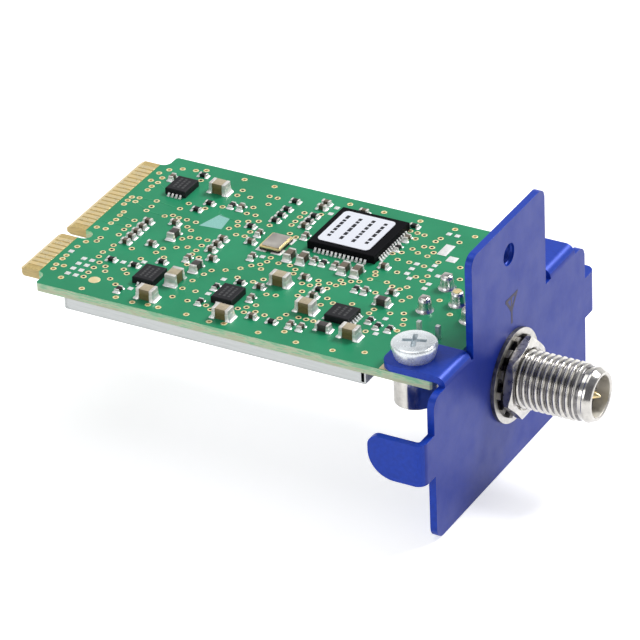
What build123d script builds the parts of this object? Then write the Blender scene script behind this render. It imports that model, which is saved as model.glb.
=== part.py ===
from build123d import *
import math
import os

# A plug-in radio card: a circuit board with a card edge, a folded metal bracket
# and a right-angle coaxial jack. Millimetres, +Z up, +X from the card edge
# towards the bracket. The origin is on the board's top face, in the middle of
# the shoulder line where the board stops in its socket.

# Circuit board; its width follows from the contacts and is 30 mm
board_thickness = 1.0
board_reach = 47.2
board_corner = 0.2
tongue_inset = 2.15
tongue_length = 3.3
tongue_bevel_length = 0.5
tongue_bevel_height = 0.25
shoulder_radius = 0.9
tongue_corner = 0.3

# Card edge contacts, in two rows split by the key notch
contact_pitch = 0.8
contact_width = 0.55
contact_length = 1.85
contact_setback = 0.92
contacts_before_key = 8
contacts_after_key = 18
key_gap = 4.0
contact_edge_margin = 1.25
key_width = 1.7
key_depth_past_shoulder = 0.35
copper_thickness = 0.05

# Folded bracket
sheet_thickness = 0.8
bend_inner_radius = 0.3
board_end_gap = 0.8
plate_overhang = 2.45
plate_shift = -0.15
plate_drop = 17.35
plate_corner_radius = 1.4
crown_shift = -0.35
crown_rise = 11.5
crown_corner_radius = 1.3
ear_width = 5.8
ear_slot = 0.85
ear_length = 7.7
ear_corner_radius = 1.6
hook_height = 4.9
hook_reach = 6.4
hook_stand_out = 2.65
hook_upper_radius = 1.2
hook_lower_radius = 3.0
collar_bore_radius = 1.25
collar_wall = 0.45
collar_depth = 0.9
collar_rise = 7.7

# Screws and round nuts that clamp the ears to the board
screw_setback = 4.15
screw_from_edge = 2.8
screw_shank_radius = 1.2
screw_length = 4.6
screw_head_radius = 2.45
screw_seat_radius = 2.1
screw_head_height = 1.8
screw_head_flare = 0.9
screw_head_edge = 0.3
recess_width = 0.6
recess_span = 2.6
recess_depth = 0.7
screw_hole_clearance = 0.2
nut_bore_clearance = 0.03
board_nut_radius = 2.3
board_nut_height = 3.4

# Coaxial jack
jack_leg_setback = 5.5
jack_leg_spacing = 5.08
jack_leg_side = 1.0
jack_leg_rise = 1.6
jack_leg_clearance = 0.3
jack_block_length = 6.2
jack_block_width = 6.4
jack_block_gap = 0.2
jack_block_edge = 0.6
jack_axis_drop = 7.0
jack_flange_radius = 4.0
jack_flange_length = 1.1
jack_neck_radius = 2.9
thread_radius = 3.175
thread_length = 8.3
jack_reach = 10.3
jack_nose_radius = 2.95
jack_mouth_radius = 2.65
jack_nose_taper = 0.7
jack_bore_radius = 2.25
jack_bore_depth = 2.4
insulator_radius = 2.05
pin_shaft_clearance = 0.6
centre_pin_radius = 0.47
centre_pin_recess = 0.15
centre_pin_point = 0.8
plate_hole_clearance = 0.1
washer_radius = 5.2
washer_rim = 0.95
washer_thickness = 0.45
washer_teeth = 12
washer_tooth_share = 0.5
washer_tooth_height = 0.85
hex_nut_flats = 8.0
hex_nut_thickness = 1.1
hex_nut_turn = -16.0
hex_nut_chamfer = 0.35
nut_running_clearance = 0.05
solder_base_radius = 0.98
solder_top_radius = 0.72
solder_height = 1.35
solder_sides = 16

# Folded shield can under the board
shield_start = 2.95
shield_jack_gap = 0.25
shield_edge_inset = 0.8
shield_depth = 2.05
shield_sheet = 0.2
shield_fold_radius = 0.4
shield_slit = 0.35

# Radio pieces inside the shield can
transceiver_side = 7.0
transceiver_height = 0.9
transceiver_x = 14.0
amplifier_side = 4.0
amplifier_height = 0.9
amplifier_x = 30.0
filter_side = 3.0
filter_height = 1.0
filter_x = 23.0
filter_spacing = 6.0
clock_length = 3.2
clock_width = 2.5
clock_height = 1.0
clock_x = 7.5

# Large chip with its paper label
main_chip_x = 26.7
main_chip_from_edge = 22.6
main_chip_side = 8.1
main_chip_height = 0.95
main_chip_lead_pitch = 0.5
main_chip_lead_count = 13
main_chip_lead_width = 0.26
main_chip_lead_reach = 0.32
main_chip_lead_height = 0.36
mould_draft = 0.08
label_length = 6.25
label_width = 6.7
label_thickness = 0.06
label_corner_radius = 0.55
label_shift = 0.2

# Size of the layout drawing that all places on the board are read from
layout_reach = 47.2
layout_width = 30.0

# Smaller chips: centre from the shoulder and from the near edge, then size
memory_x = 4.15
memory_from_edge = 23.9
memory_length = 2.5
memory_width = 3.0
small_chip_height = 0.8
regulator_from_edge = 5.85
front_regulator_x = 10.6
rear_regulator_x = 20.15
regulator_length = 2.5
regulator_width = 3.1
switch_x = 32.9
switch_from_edge = 7.45
switch_length = 2.9
switch_width = 2.7
small_lead_pitch = 0.48
small_lead_width = 0.24
small_lead_reach = 0.28
small_lead_height = 0.3
memory_leads_a_side = 4
regulator_leads_a_side = 3
switch_leads_a_side = 5

# Crystal in its can
crystal_x = 19.3
crystal_from_edge = 17.75
crystal_length = 2.5
crystal_width = 3.2
crystal_base_height = 0.32
crystal_ring_height = 0.12
crystal_ring_width = 0.22
crystal_lid_height = 0.14
crystal_corner = 0.15

# Chip capacitors, beads and resistors: length, width, height, metal end
bulk_size = (2.0, 1.25, 1.25, 0.4)
middle_size = (1.6, 0.8, 0.8, 0.3)
small_size = (1.0, 0.5, 0.5, 0.25)
resistor_size = (1.0, 0.5, 0.36, 0.2)
end_overhang = 0.02

# Places on the board: distance from the shoulder, distance from the near edge
bulk_along = [(12.35, 2.3), (21.55, 2.25), (28.8, 7.05), (35.45, 4.4), (23.65, 10.8), (8.1, 25.3)]
bulk_across = [(13.3, 6.45)]
middle_across = [(21.95, 15.95), (23.55, 15.95), (28.5, 16.0), (30.05, 16.0)]
bead_along = [(32.3, 4.4), (35.4, 11.6)]
bead_across = [(8.45, 14.65), (14.05, 9.7)]
small_along = [
    (4.4, 11.35), (4.4, 12.5), (4.4, 13.65), (4.4, 14.8), (4.4, 16.1),
    (13.6, 13.7), (13.6, 14.95), (13.6, 16.2), (14.65, 12.1),
    (7.2, 12.1), (7.2, 17.1), (16.6, 17.0), (25.5, 12.85),
    (20.0, 26.7), (20.0, 27.75), (20.2, 22.4), (24.6, 27.75),
    (32.0, 18.4), (28.1, 9.85), (22.1, 9.1), (24.35, 3.4), (35.3, 14.0),
]
small_across = [
    (12.25, 11.0), (16.55, 18.9), (1.95, 25.6), (12.05, 23.0), (21.35, 20.5),
    (24.75, 16.3), (27.25, 16.3), (22.45, 6.6), (28.8, 3.6),
    (30.05, 3.6), (32.6, 13.0), (18.3, 14.2),
]
resistor_along = [
    (14.95, 19.95), (4.75, 27.55), (8.45, 22.45), (7.85, 20.65),
    (16.7, 22.2), (16.7, 23.5), (16.7, 24.85), (16.7, 26.75),
    (20.1, 23.6), (20.1, 24.8), (30.9, 27.4), (28.0, 11.3), (19.8, 9.05),
    (26.7, 3.4), (4.95, 7.45), (7.8, 7.45), (10.1, 9.3),
]
resistor_across = [
    (10.9, 23.0), (25.8, 16.3), (31.5, 13.0), (17.9, 7.1),
    (17.9, 3.7), (35.85, 7.95), (37.1, 7.25), (38.5, 7.25), (8.85, 2.3),
]

# One capacitor and one resistor right beside the large chip's leads
chip_neighbour_gap = 0.15
chip_side_capacitors = [24.65]
chip_side_resistors = [22.5]

# Two upright pins beside the near ear
pin_side = 0.45
pin_rise = 1.5
pin_setback = 5.25
pin_spacing = 2.2
pin_from_edge = 8.0

# Places that follow from the sizes above
contact_span = (contacts_before_key + contacts_after_key - 2) * contact_pitch + key_gap
tongue_width = contact_span + 2 * contact_edge_margin
board_width = tongue_width + 2 * tongue_inset
board_bottom = -board_thickness
plate_width = board_width + 2 * plate_overhang
crown_width = board_width - 2 * (ear_width + ear_slot)
bend_outer_radius = bend_inner_radius + sheet_thickness
plate_shoulder = sheet_thickness - bend_outer_radius
plate_back = board_reach + board_end_gap
plate_front = plate_back + sheet_thickness
bend_centre_x = plate_front - bend_outer_radius
screw_x = plate_back - screw_setback
jack_leg_x = plate_back - jack_leg_setback
jack_mouth_x = plate_front + jack_reach
jack_block_back = jack_leg_x - jack_block_length / 2
shield_length = jack_block_back - shield_jack_gap - shield_start


def across(from_near_edge):
    """Y of a layout point given by its distance from the near edge."""
    return (from_near_edge / layout_width - 0.5) * board_width


def spot(from_shoulder, from_near_edge):
    """A layout point, kept in proportion when the board's size changes."""
    return from_shoulder * board_reach / layout_reach, across(from_near_edge)


def contact_rows():
    """Y of every contact on one face of the card edge."""
    first = -contact_span / 2
    before = [first + i * contact_pitch for i in range(contacts_before_key)]
    after_start = before[-1] + key_gap
    after = [after_start + i * contact_pitch for i in range(contacts_after_key)]
    return before, after


def key_centre():
    before, after = contact_rows()
    return (before[-1] + after[0]) / 2


def screw_places():
    """The two ear screws, near side first."""
    reach = board_width / 2 - screw_from_edge
    return [(screw_x, -reach), (screw_x, reach)]


def leg_places():
    half = jack_leg_spacing / 2
    return [(jack_leg_x + i * half, j * half) for i in (-1, 1) for j in (-1, 1)]


def plate_solid(length, width, thickness, bottom, place, radius=0.0):
    """A flat piece whose lower face lies at the given height."""
    outline = Rectangle(length, width)
    if radius > 0:
        outline = fillet(outline.vertices(), radius)
    return Pos(place[0], place[1], bottom) * extrude(outline, amount=thickness)


# Circuit board


def board_outline():
    body = Pos(board_reach / 2, 0) * Rectangle(board_reach, board_width)
    body = chamfer(body.vertices(), board_corner)
    tongue = Rectangle(2 * tongue_length, tongue_width)
    tips = tongue.vertices().group_by(Axis.X)[0]
    outline = body + chamfer(tips, tongue_corner)
    inner_corners = [
        v for v in outline.vertices()
        if abs(v.X) < board_corner / 2 and abs(abs(v.Y) - tongue_width / 2) < board_corner / 2
    ]
    outline = fillet(inner_corners, shoulder_radius)
    key_radius = key_width / 2
    key_slot = Pos(key_depth_past_shoulder - key_radius - tongue_length, key_centre()) * SlotOverall(
        2 * tongue_length + key_width, key_width
    )
    return outline - key_slot


def circuit_board():
    board = Pos(0, 0, board_bottom) * extrude(board_outline(), amount=board_thickness)
    for x, y in screw_places():
        hole = Cylinder(screw_shank_radius + screw_hole_clearance, 3 * board_thickness)
        board -= Pos(x, y, board_bottom) * hole
    for x, y in leg_places():
        board -= Pos(x, y, board_bottom) * Cylinder(leg_hole_radius(), 3 * board_thickness)
    board -= Pos(jack_leg_x, 0, board_bottom) * Cylinder(centre_hole_radius(), 3 * board_thickness)
    return board - tongue_bevels()


def leg_hole_radius():
    return jack_leg_side / math.sqrt(2) + jack_leg_clearance / 2


def centre_hole_radius():
    return centre_pin_radius + jack_leg_clearance / 2


def tongue_bevels():
    """The lead-in ground on both faces of the tongue's tip."""
    tip = -tongue_length
    wedge = Polygon(
        (tip, 0), (tip + tongue_bevel_length, 0), (tip, -tongue_bevel_height), align=None
    )
    lower = mirror(wedge, Plane.XZ)
    lower = Pos(0, -board_thickness) * lower
    profile = wedge + lower
    return extrude(Plane.XZ * profile, amount=tongue_width, both=True)


def contacts(bottom):
    before, after = contact_rows()
    x = -contact_setback - contact_length / 2
    return [
        plate_solid(contact_length, contact_width, copper_thickness, bottom, (x, y))
        for y in before + after
    ]


def header_pins():
    pins = []
    for side in (-1, 1):
        x = plate_back - pin_setback + side * pin_spacing / 2
        pins.append(plate_solid(pin_side, pin_side, pin_rise, 0, (x, across(pin_from_edge))))
    return pins


# Bracket


def bracket_plate():
    """The flat face: a wide lower part and a narrower crown between the ears."""
    lower_height = plate_drop + plate_shoulder
    lower = Pos(plate_shift, plate_shoulder - lower_height / 2) * Rectangle(plate_width, lower_height)
    lower = fillet(lower.vertices(), plate_corner_radius)
    crown_height = crown_rise - plate_shoulder
    crown = Pos(crown_shift, plate_shoulder + crown_height / 2) * Rectangle(crown_width, crown_height)
    crown = fillet(crown.vertices().group_by(Axis.Y)[-1], crown_corner_radius)
    overlap = Pos(crown_shift, plate_shoulder) * Rectangle(crown_width, bend_outer_radius)
    outline = lower + crown + overlap
    return Pos(plate_back, 0, 0) * extrude(Plane.YZ * outline, amount=sheet_thickness)


def fold_sector(length):
    """A quarter bend of the sheet about its own Z axis, from +X round to +Y."""
    ring = Circle(bend_outer_radius) - Circle(bend_inner_radius)
    corner = Rectangle(bend_outer_radius, bend_outer_radius, align=Align.MIN)
    return extrude(ring & corner, amount=length / 2, both=True)


def ear(side):
    """A tab folded back over the board, on the near (-1) or far (+1) side."""
    middle = side * (board_width - ear_width) / 2
    fold = Pos(bend_centre_x, middle, plate_shoulder) * Rot(90, 0, 0) * fold_sector(ear_width)
    start = bend_centre_x - ear_length + bend_outer_radius
    flat_length = bend_centre_x - start
    outline = Pos(start + flat_length / 2, middle) * Rectangle(flat_length, ear_width)
    outline = fillet(outline.vertices().group_by(Axis.X)[0], ear_corner_radius)
    flat = extrude(outline, amount=sheet_thickness)
    x, y = screw_places()[0 if side < 0 else 1]
    hole = Pos(x, y) * Cylinder(screw_shank_radius + screw_hole_clearance, 4 * sheet_thickness)
    return fold + flat - hole


def hook(side):
    """A tab folded straight back from the plate's side, with a rounded end."""
    face = side * (plate_width / 2 + hook_stand_out)
    bend_y = face - side * bend_outer_radius
    fold = Pos(bend_centre_x, abs(bend_y), -jack_axis_drop) * fold_sector(hook_height)
    flat_length = hook_reach - bend_outer_radius
    outline = Pos(bend_centre_x - flat_length / 2, -jack_axis_drop) * Rectangle(flat_length, hook_height)
    outline = fillet(outline.vertices().group_by(Axis.X)[0].sort_by(Axis.Y)[0], hook_lower_radius)
    outline = fillet(outline.vertices().group_by(Axis.X)[0].sort_by(Axis.Y)[-1], hook_upper_radius)
    flat = Pos(0, abs(face), 0) * extrude(Plane.XZ * outline, amount=sheet_thickness)
    root_length = abs(bend_y) - plate_width / 2 + plate_corner_radius
    root = Pos(plate_back + sheet_thickness / 2, abs(bend_y) - root_length / 2, -jack_axis_drop) * Box(
        sheet_thickness, root_length, hook_height
    )
    whole = fold + flat + root
    if side < 0:
        whole = mirror(whole, Plane.XZ)
    return Pos(0, plate_shift, 0) * whole


def bracket():
    sheet = bracket_plate() + ear(-1) + ear(1) + hook(-1) + hook(1)
    barrel_hole = Cylinder(thread_radius + plate_hole_clearance, 4 * sheet_thickness)
    sheet -= Pos(plate_back, 0, -jack_axis_drop) * Rot(0, 90, 0) * barrel_hole
    collar_length = collar_depth + sheet_thickness
    collar = Cylinder(collar_bore_radius + collar_wall, collar_length)
    bore = Cylinder(collar_bore_radius, 2 * collar_length)
    centre = Pos(plate_front - collar_length / 2, crown_shift, collar_rise) * Rot(0, 90, 0)
    return sheet + centre * collar - centre * bore


# Fasteners


def screw_head():
    """Head profile turned about Z, flared above its seat, with a cross recess."""
    top = screw_head_height
    profile = Polygon(
        (0, 0), (screw_seat_radius, 0), (screw_head_radius, screw_head_flare),
        (screw_head_radius, top - screw_head_edge), (screw_head_radius - screw_head_edge, top),
        (0, top), align=None,
    )
    head = revolve(Plane.XZ * profile, Axis.Z)
    slot = Box(recess_span, recess_width, 2 * recess_depth)
    cross = slot + Rot(0, 0, 90) * slot
    return head - Pos(0, 0, top) * Rot(0, 0, 45) * cross


def ear_screws():
    shank = Pos(0, 0, -screw_length / 2) * Cylinder(screw_shank_radius, screw_length)
    screw = screw_head() + shank
    return [Pos(x, y, sheet_thickness) * screw for x, y in screw_places()]


def board_nuts():
    """Round nuts pressed against the board's underside, one for each screw."""
    body = Cylinder(board_nut_radius, board_nut_height)
    body -= Cylinder(screw_shank_radius + nut_bore_clearance, 2 * board_nut_height)
    middle = board_bottom - board_nut_height / 2
    return [Pos(x, y, middle) * body for x, y in screw_places()]


def lock_washer():
    """A thin rim with taller teeth that point inwards to the thread and carry the nut."""
    inner = thread_radius + plate_hole_clearance
    rim_inner = washer_radius - washer_rim
    washer = extrude(Circle(washer_radius) - Circle(rim_inner), amount=washer_thickness)
    tooth_angle = 360 / washer_teeth
    tooth_width = 2 * math.pi * inner * washer_tooth_share / washer_teeth
    tooth_length = rim_inner - inner + washer_rim / 4
    tooth = Pos(inner + tooth_length / 2, 0, washer_tooth_height / 2) * Box(
        tooth_length, tooth_width, washer_tooth_height
    )
    for i in range(washer_teeth):
        washer += Rot(0, 0, i * tooth_angle) * tooth
    return [Pos(plate_front, 0, -jack_axis_drop) * Rot(0, 90, 0) * washer]


def hex_nut():
    body = extrude(RegularPolygon(hex_nut_flats / 2, 6, major_radius=False), amount=hex_nut_thickness)
    corner = hex_nut_flats / math.sqrt(3)
    cone_edge = corner - hex_nut_chamfer
    profile = Polygon(
        (0, 0), (corner, 0), (corner, hex_nut_thickness - hex_nut_chamfer / 2),
        (cone_edge, hex_nut_thickness), (0, hex_nut_thickness), align=None,
    )
    body = body & revolve(Plane.XZ * profile, Axis.Z)
    bore = Cylinder(thread_radius + nut_running_clearance, 4 * hex_nut_thickness)
    place = Pos(plate_front + washer_tooth_height, 0, -jack_axis_drop) * Rot(0, 90, 0)
    return [place * Rot(0, 0, hex_nut_turn) * (body - bore)]


# Coaxial jack


def jack_turned_profile():
    """Half section of the barrel, from the block to the mouth, along X."""
    flange_back = plate_back - jack_flange_length
    nose = plate_front + thread_length
    outer = [
        (jack_leg_x, 0),
        (jack_leg_x, jack_neck_radius),
        (flange_back, jack_neck_radius),
        (flange_back, jack_flange_radius),
        (plate_back, jack_flange_radius),
        (plate_back, thread_radius),
        (nose, thread_radius),
        (nose, jack_nose_radius),
        (jack_mouth_x - jack_nose_taper, jack_nose_radius),
        (jack_mouth_x, jack_mouth_radius),
        (jack_mouth_x, 0),
    ]
    return Polygon(*outer, align=None)


def jack_axis():
    return Axis((0, 0, -jack_axis_drop), (1, 0, 0))


def jack_shell():
    """Block, legs, flange and barrel, machined as one piece."""
    top = board_bottom - jack_block_gap
    bottom = -jack_axis_drop - jack_block_width / 2
    block = Box(jack_block_length, jack_block_width, top - bottom)
    block = chamfer(block.edges().filter_by(Axis.X).group_by(Axis.Z)[0], jack_block_edge)
    shell = Pos(jack_leg_x, 0, (top + bottom) / 2) * block
    turned = revolve(Plane.XZ * Pos(0, -jack_axis_drop) * jack_turned_profile(), jack_axis())
    shell += turned
    leg_length = jack_leg_rise - top + jack_leg_side
    for x, y in leg_places():
        shell += Pos(x, y, jack_leg_rise - leg_length / 2) * Box(jack_leg_side, jack_leg_side, leg_length)
    bore_end = jack_mouth_x - jack_bore_depth
    mouth = Cylinder(jack_bore_radius, 2 * jack_bore_depth)
    shell -= Pos(jack_mouth_x, 0, -jack_axis_drop) * Rot(0, 90, 0) * mouth
    through_length = bore_end - jack_leg_x + insulator_radius
    through = Cylinder(insulator_radius, through_length)
    middle = bore_end - through_length / 2
    shell -= Pos(middle, 0, -jack_axis_drop) * Rot(0, 90, 0) * through
    return [shell - pin_shaft(pin_shaft_clearance)]


def pin_shaft(clearance):
    """The round way that the centre pin's leg takes up from the jack's axis."""
    height = 2 * jack_axis_drop
    shaft = Cylinder(centre_pin_radius + clearance, height)
    return Pos(jack_leg_x, 0, height / 2 - jack_axis_drop - centre_pin_radius) * shaft


def jack_insulator():
    """The white sleeve that holds the centre pin in the middle of the barrel."""
    bore_end = jack_mouth_x - jack_bore_depth
    length = bore_end - jack_leg_x + insulator_radius
    sleeve = Pos(bore_end - length / 2, 0, -jack_axis_drop) * Rot(0, 90, 0) * Cylinder(
        insulator_radius, length
    )
    reach = jack_mouth_x - jack_leg_x
    pin_hole = Cylinder(centre_pin_radius, reach)
    hole_along = Pos(jack_leg_x + reach / 2, 0, -jack_axis_drop) * Rot(0, 90, 0) * pin_hole
    return [sleeve - hole_along - pin_shaft(0)]


def jack_pin():
    """The centre pin: a pointed tip in the mouth and a leg up through the board."""
    tip = jack_mouth_x - centre_pin_recess
    straight = tip - centre_pin_point - jack_leg_x
    along = Pos(jack_leg_x + straight / 2, 0, -jack_axis_drop) * Rot(0, 90, 0) * Cylinder(
        centre_pin_radius, straight
    )
    point = Cone(centre_pin_radius, centre_pin_radius / 4, centre_pin_point)
    point = Pos(tip - centre_pin_point / 2, 0, -jack_axis_drop) * Rot(0, 90, 0) * point
    leg_length = jack_axis_drop + centre_pin_radius + jack_leg_rise
    leg = Pos(jack_leg_x, 0, jack_leg_rise - leg_length / 2) * Cylinder(centre_pin_radius, leg_length)
    return [along + point + leg]


def solder_joints():
    """A cone of solder with many flat sides round each leg, standing on the board."""
    slope = math.degrees(math.atan((solder_base_radius - solder_top_radius) / solder_height))
    foot = RegularPolygon(solder_base_radius, solder_sides)
    cone = extrude(foot, amount=solder_height, taper=slope)
    square = Box(jack_leg_side, jack_leg_side, 4 * solder_height)
    joints = [Pos(x, y) * (cone - square) for x, y in leg_places()]
    round_leg = Cylinder(centre_pin_radius, 4 * solder_height)
    joints.append(Pos(jack_leg_x, 0) * (cone - round_leg))
    return joints


# Shield can and the pieces inside it


def shield_can():
    """Sheet folded down on four sides, with an open slit at each corner."""
    width = board_width - 2 * shield_edge_inset
    middle_x = shield_start + shield_length / 2
    middle_z = board_bottom - shield_depth / 2
    can = Box(shield_length, width, shield_depth)
    can = fillet(can.faces().sort_by(Axis.Z)[0].edges(), shield_fold_radius)
    hollow = Box(
        shield_length - 2 * shield_sheet, width - 2 * shield_sheet, shield_depth - shield_sheet
    )
    hollow = fillet(hollow.faces().sort_by(Axis.Z)[0].edges(), shield_fold_radius - shield_sheet)
    can -= Pos(0, 0, shield_sheet / 2) * hollow
    slit = Box(shield_slit, 3 * shield_sheet, shield_depth - shield_fold_radius)
    slit_x = shield_length / 2 - shield_sheet - shield_slit / 2
    for i in (-1, 1):
        for j in (-1, 1):
            can -= Pos(i * slit_x, j * width / 2, shield_fold_radius / 2) * slit
    return [Pos(middle_x, 0, middle_z) * can]


def under_board(length, width, height, x, y=0.0):
    """A piece hung under the board, inside the shield can."""
    place = (x * board_reach / layout_reach, y)
    return plate_solid(length, width, height, board_bottom - height, place)


def transceiver_chip():
    return [under_board(transceiver_side, transceiver_side, transceiver_height, transceiver_x)]


def amplifier_chip():
    return [under_board(amplifier_side, amplifier_side, amplifier_height, amplifier_x)]


def band_filters():
    return [
        under_board(filter_side, filter_side, filter_height, filter_x, side * filter_spacing / 2)
        for side in (-1, 1)
    ]


def clock_oscillator():
    return [under_board(clock_length, clock_width, clock_height, clock_x)]


# Chips on top of the board


def moulded_body(length, width, height, place):
    """A moulded chip body with a slight draft round its upper edge."""
    body = plate_solid(length, width, height, 0, place)
    return chamfer(body.faces().sort_by(Axis.Z)[-1].edges(), mould_draft)


def lead_row(count, pitch, width, reach, height, along_x, edge, middle):
    """Leads on one side; edge is that side's signed distance from the middle."""
    leads = []
    outward = 1 if edge > 0 else -1
    for i in range(count):
        step = (i - (count - 1) / 2) * pitch
        out = edge + outward * reach / 2
        if along_x:
            place = (middle[0] + step, middle[1] + out)
            leads.append(plate_solid(width, reach, height, 0, place))
        else:
            place = (middle[0] + out, middle[1] + step)
            leads.append(plate_solid(reach, width, height, 0, place))
    return leads


def main_chip():
    place = spot(main_chip_x, main_chip_from_edge)
    return [moulded_body(main_chip_side, main_chip_side, main_chip_height, place)]


def main_chip_leads():
    middle = spot(main_chip_x, main_chip_from_edge)
    leads = []
    for edge in (-main_chip_side / 2, main_chip_side / 2):
        for along_x in (True, False):
            leads += lead_row(
                main_chip_lead_count, main_chip_lead_pitch, main_chip_lead_width,
                main_chip_lead_reach, main_chip_lead_height, along_x, edge, middle,
            )
    return leads


def chip_label():
    x, y = spot(main_chip_x, main_chip_from_edge)
    return [
        plate_solid(
            label_length, label_width, label_thickness, main_chip_height,
            (x - label_shift, y), label_corner_radius,
        )
    ]


def small_chip(length, width, x, from_edge):
    return [moulded_body(length, width, small_chip_height, spot(x, from_edge))]


def small_chip_leads(count, depth, x, from_edge, along_x):
    """Leads on two opposite sides of a small chip that is depth deep between them."""
    leads = []
    for edge in (-depth / 2, depth / 2):
        leads += lead_row(
            count, small_lead_pitch, small_lead_width, small_lead_reach, small_lead_height,
            along_x, edge, spot(x, from_edge),
        )
    return leads


def memory_chip_leads():
    return small_chip_leads(memory_leads_a_side, memory_width, memory_x, memory_from_edge, True)


def regulator_leads():
    leads = []
    for x in (front_regulator_x, rear_regulator_x):
        leads += small_chip_leads(regulator_leads_a_side, regulator_width, x, regulator_from_edge, True)
    return leads


def antenna_switch_leads():
    return small_chip_leads(switch_leads_a_side, switch_length, switch_x, switch_from_edge, False)


def crystal_layer(inset, height, bottom):
    """One layer of the crystal's can, with its upright corners cut off."""
    layer = plate_solid(
        crystal_length - 2 * inset, crystal_width - 2 * inset, height, bottom,
        spot(crystal_x, crystal_from_edge),
    )
    return chamfer(layer.edges().filter_by(Axis.Z), crystal_corner)


def crystal_base():
    return [crystal_layer(0, crystal_base_height, 0)]


def crystal_ring():
    return [crystal_layer(0, crystal_ring_height, crystal_base_height)]


def crystal_lid():
    return [crystal_layer(crystal_ring_width, crystal_lid_height, crystal_base_height + crystal_ring_height)]


# Chip capacitors, beads and resistors


def beside_main_chip(width):
    """X of a part that stands just past the large chip's leads."""
    chip_x, _ = spot(main_chip_x, main_chip_from_edge)
    return chip_x + main_chip_side / 2 + main_chip_lead_reach + chip_neighbour_gap + width / 2


def chip_pieces(size, along, turned, beside):
    """Bodies and metal ends of every two-ended part of one size."""
    length, width, height, end = size
    places = [Pos(*spot(x, y)) for x, y in along]
    places += [Pos(*spot(x, y)) * Rot(0, 0, 90) for x, y in turned]
    places += [Pos(beside_main_chip(width), across(y)) * Rot(0, 0, 90) for y in beside]
    bodies = []
    ends = []
    body = Pos(0, 0, height / 2) * Box(length - 2 * end, width, height)
    cap = Pos(0, 0, (height + end_overhang) / 2) * Box(end, width + 2 * end_overhang, height + end_overhang)
    for place in places:
        bodies.append(place * body)
        for side in (-1, 1):
            ends.append(place * Pos(side * (length - end) / 2, 0, 0) * cap)
    return bodies, ends


def write(name, solids):
    if not isinstance(solids, list):
        solids = [solids]
    shape = solids[0] if len(solids) == 1 else Compound(children=solids)
    export_step(shape, os.path.join("parts", name + ".step"))


def write_chip_family(name, size, along, turned, beside=()):
    bodies, ends = chip_pieces(size, along, turned, beside)
    write(name + "_bodies", bodies)
    write(name + "_ends", ends)


def main():
    os.makedirs("parts", exist_ok=True)
    write("circuit_board", circuit_board())
    write("top_contacts", contacts(0))
    write("bottom_contacts", contacts(board_bottom - copper_thickness))
    write("header_pins", header_pins())
    write("bracket", bracket())
    write("ear_screws", ear_screws())
    write("board_nuts", board_nuts())
    write("jack_shell", jack_shell())
    write("jack_insulator", jack_insulator())
    write("jack_pin", jack_pin())
    write("lock_washer", lock_washer())
    write("hex_nut", hex_nut())
    write("solder_joints", solder_joints())
    write("shield_can", shield_can())
    write("transceiver_chip", transceiver_chip())
    write("amplifier_chip", amplifier_chip())
    write("band_filters", band_filters())
    write("clock_oscillator", clock_oscillator())
    write("main_chip", main_chip())
    write("main_chip_leads", main_chip_leads())
    write("chip_label", chip_label())
    write("memory_chip", small_chip(memory_length, memory_width, memory_x, memory_from_edge))
    write("memory_chip_leads", memory_chip_leads())
    regulator = (regulator_length, regulator_width)
    write("front_regulator", small_chip(*regulator, front_regulator_x, regulator_from_edge))
    write("rear_regulator", small_chip(*regulator, rear_regulator_x, regulator_from_edge))
    write("regulator_leads", regulator_leads())
    write("antenna_switch", small_chip(switch_length, switch_width, switch_x, switch_from_edge))
    write("antenna_switch_leads", antenna_switch_leads())
    write("crystal_base", crystal_base())
    write("crystal_ring", crystal_ring())
    write("crystal_lid", crystal_lid())
    write_chip_family("bulk_capacitor", bulk_size, bulk_along, bulk_across)
    write_chip_family("middle_capacitor", middle_size, [], middle_across)
    write_chip_family("ferrite_bead", middle_size, bead_along, bead_across)
    small_parts = (small_along, small_across, chip_side_capacitors)
    write_chip_family("small_capacitor", small_size, *small_parts)
    resistors = (resistor_along, resistor_across, chip_side_resistors)
    write_chip_family("resistor", resistor_size, *resistors)


main()
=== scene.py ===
import bmesh
import bpy
import math
import random
from mathutils import Matrix, Vector


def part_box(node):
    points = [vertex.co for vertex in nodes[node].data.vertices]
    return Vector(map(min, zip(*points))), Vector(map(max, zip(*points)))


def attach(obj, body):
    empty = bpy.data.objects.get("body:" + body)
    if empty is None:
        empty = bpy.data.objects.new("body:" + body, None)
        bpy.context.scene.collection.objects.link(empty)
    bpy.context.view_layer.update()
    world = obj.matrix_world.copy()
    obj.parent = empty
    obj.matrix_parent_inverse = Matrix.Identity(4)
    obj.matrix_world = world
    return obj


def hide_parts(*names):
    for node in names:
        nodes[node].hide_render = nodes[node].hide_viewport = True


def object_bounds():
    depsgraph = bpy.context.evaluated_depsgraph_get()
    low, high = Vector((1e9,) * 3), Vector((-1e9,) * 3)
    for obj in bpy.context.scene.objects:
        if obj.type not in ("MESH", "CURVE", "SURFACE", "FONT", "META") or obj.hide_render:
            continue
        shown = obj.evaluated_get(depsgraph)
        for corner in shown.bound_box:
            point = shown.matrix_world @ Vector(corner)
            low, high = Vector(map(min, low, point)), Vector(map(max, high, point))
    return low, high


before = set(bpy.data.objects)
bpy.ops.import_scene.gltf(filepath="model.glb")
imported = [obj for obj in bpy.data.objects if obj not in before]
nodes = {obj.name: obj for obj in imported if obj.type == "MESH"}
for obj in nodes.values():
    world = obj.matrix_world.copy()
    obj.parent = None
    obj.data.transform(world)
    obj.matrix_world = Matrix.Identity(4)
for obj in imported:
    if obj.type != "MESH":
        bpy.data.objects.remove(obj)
cad_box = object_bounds()
random.seed(7)

# A millimetre in metres; heights are measured from the board's top face
MM = 0.001

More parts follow.
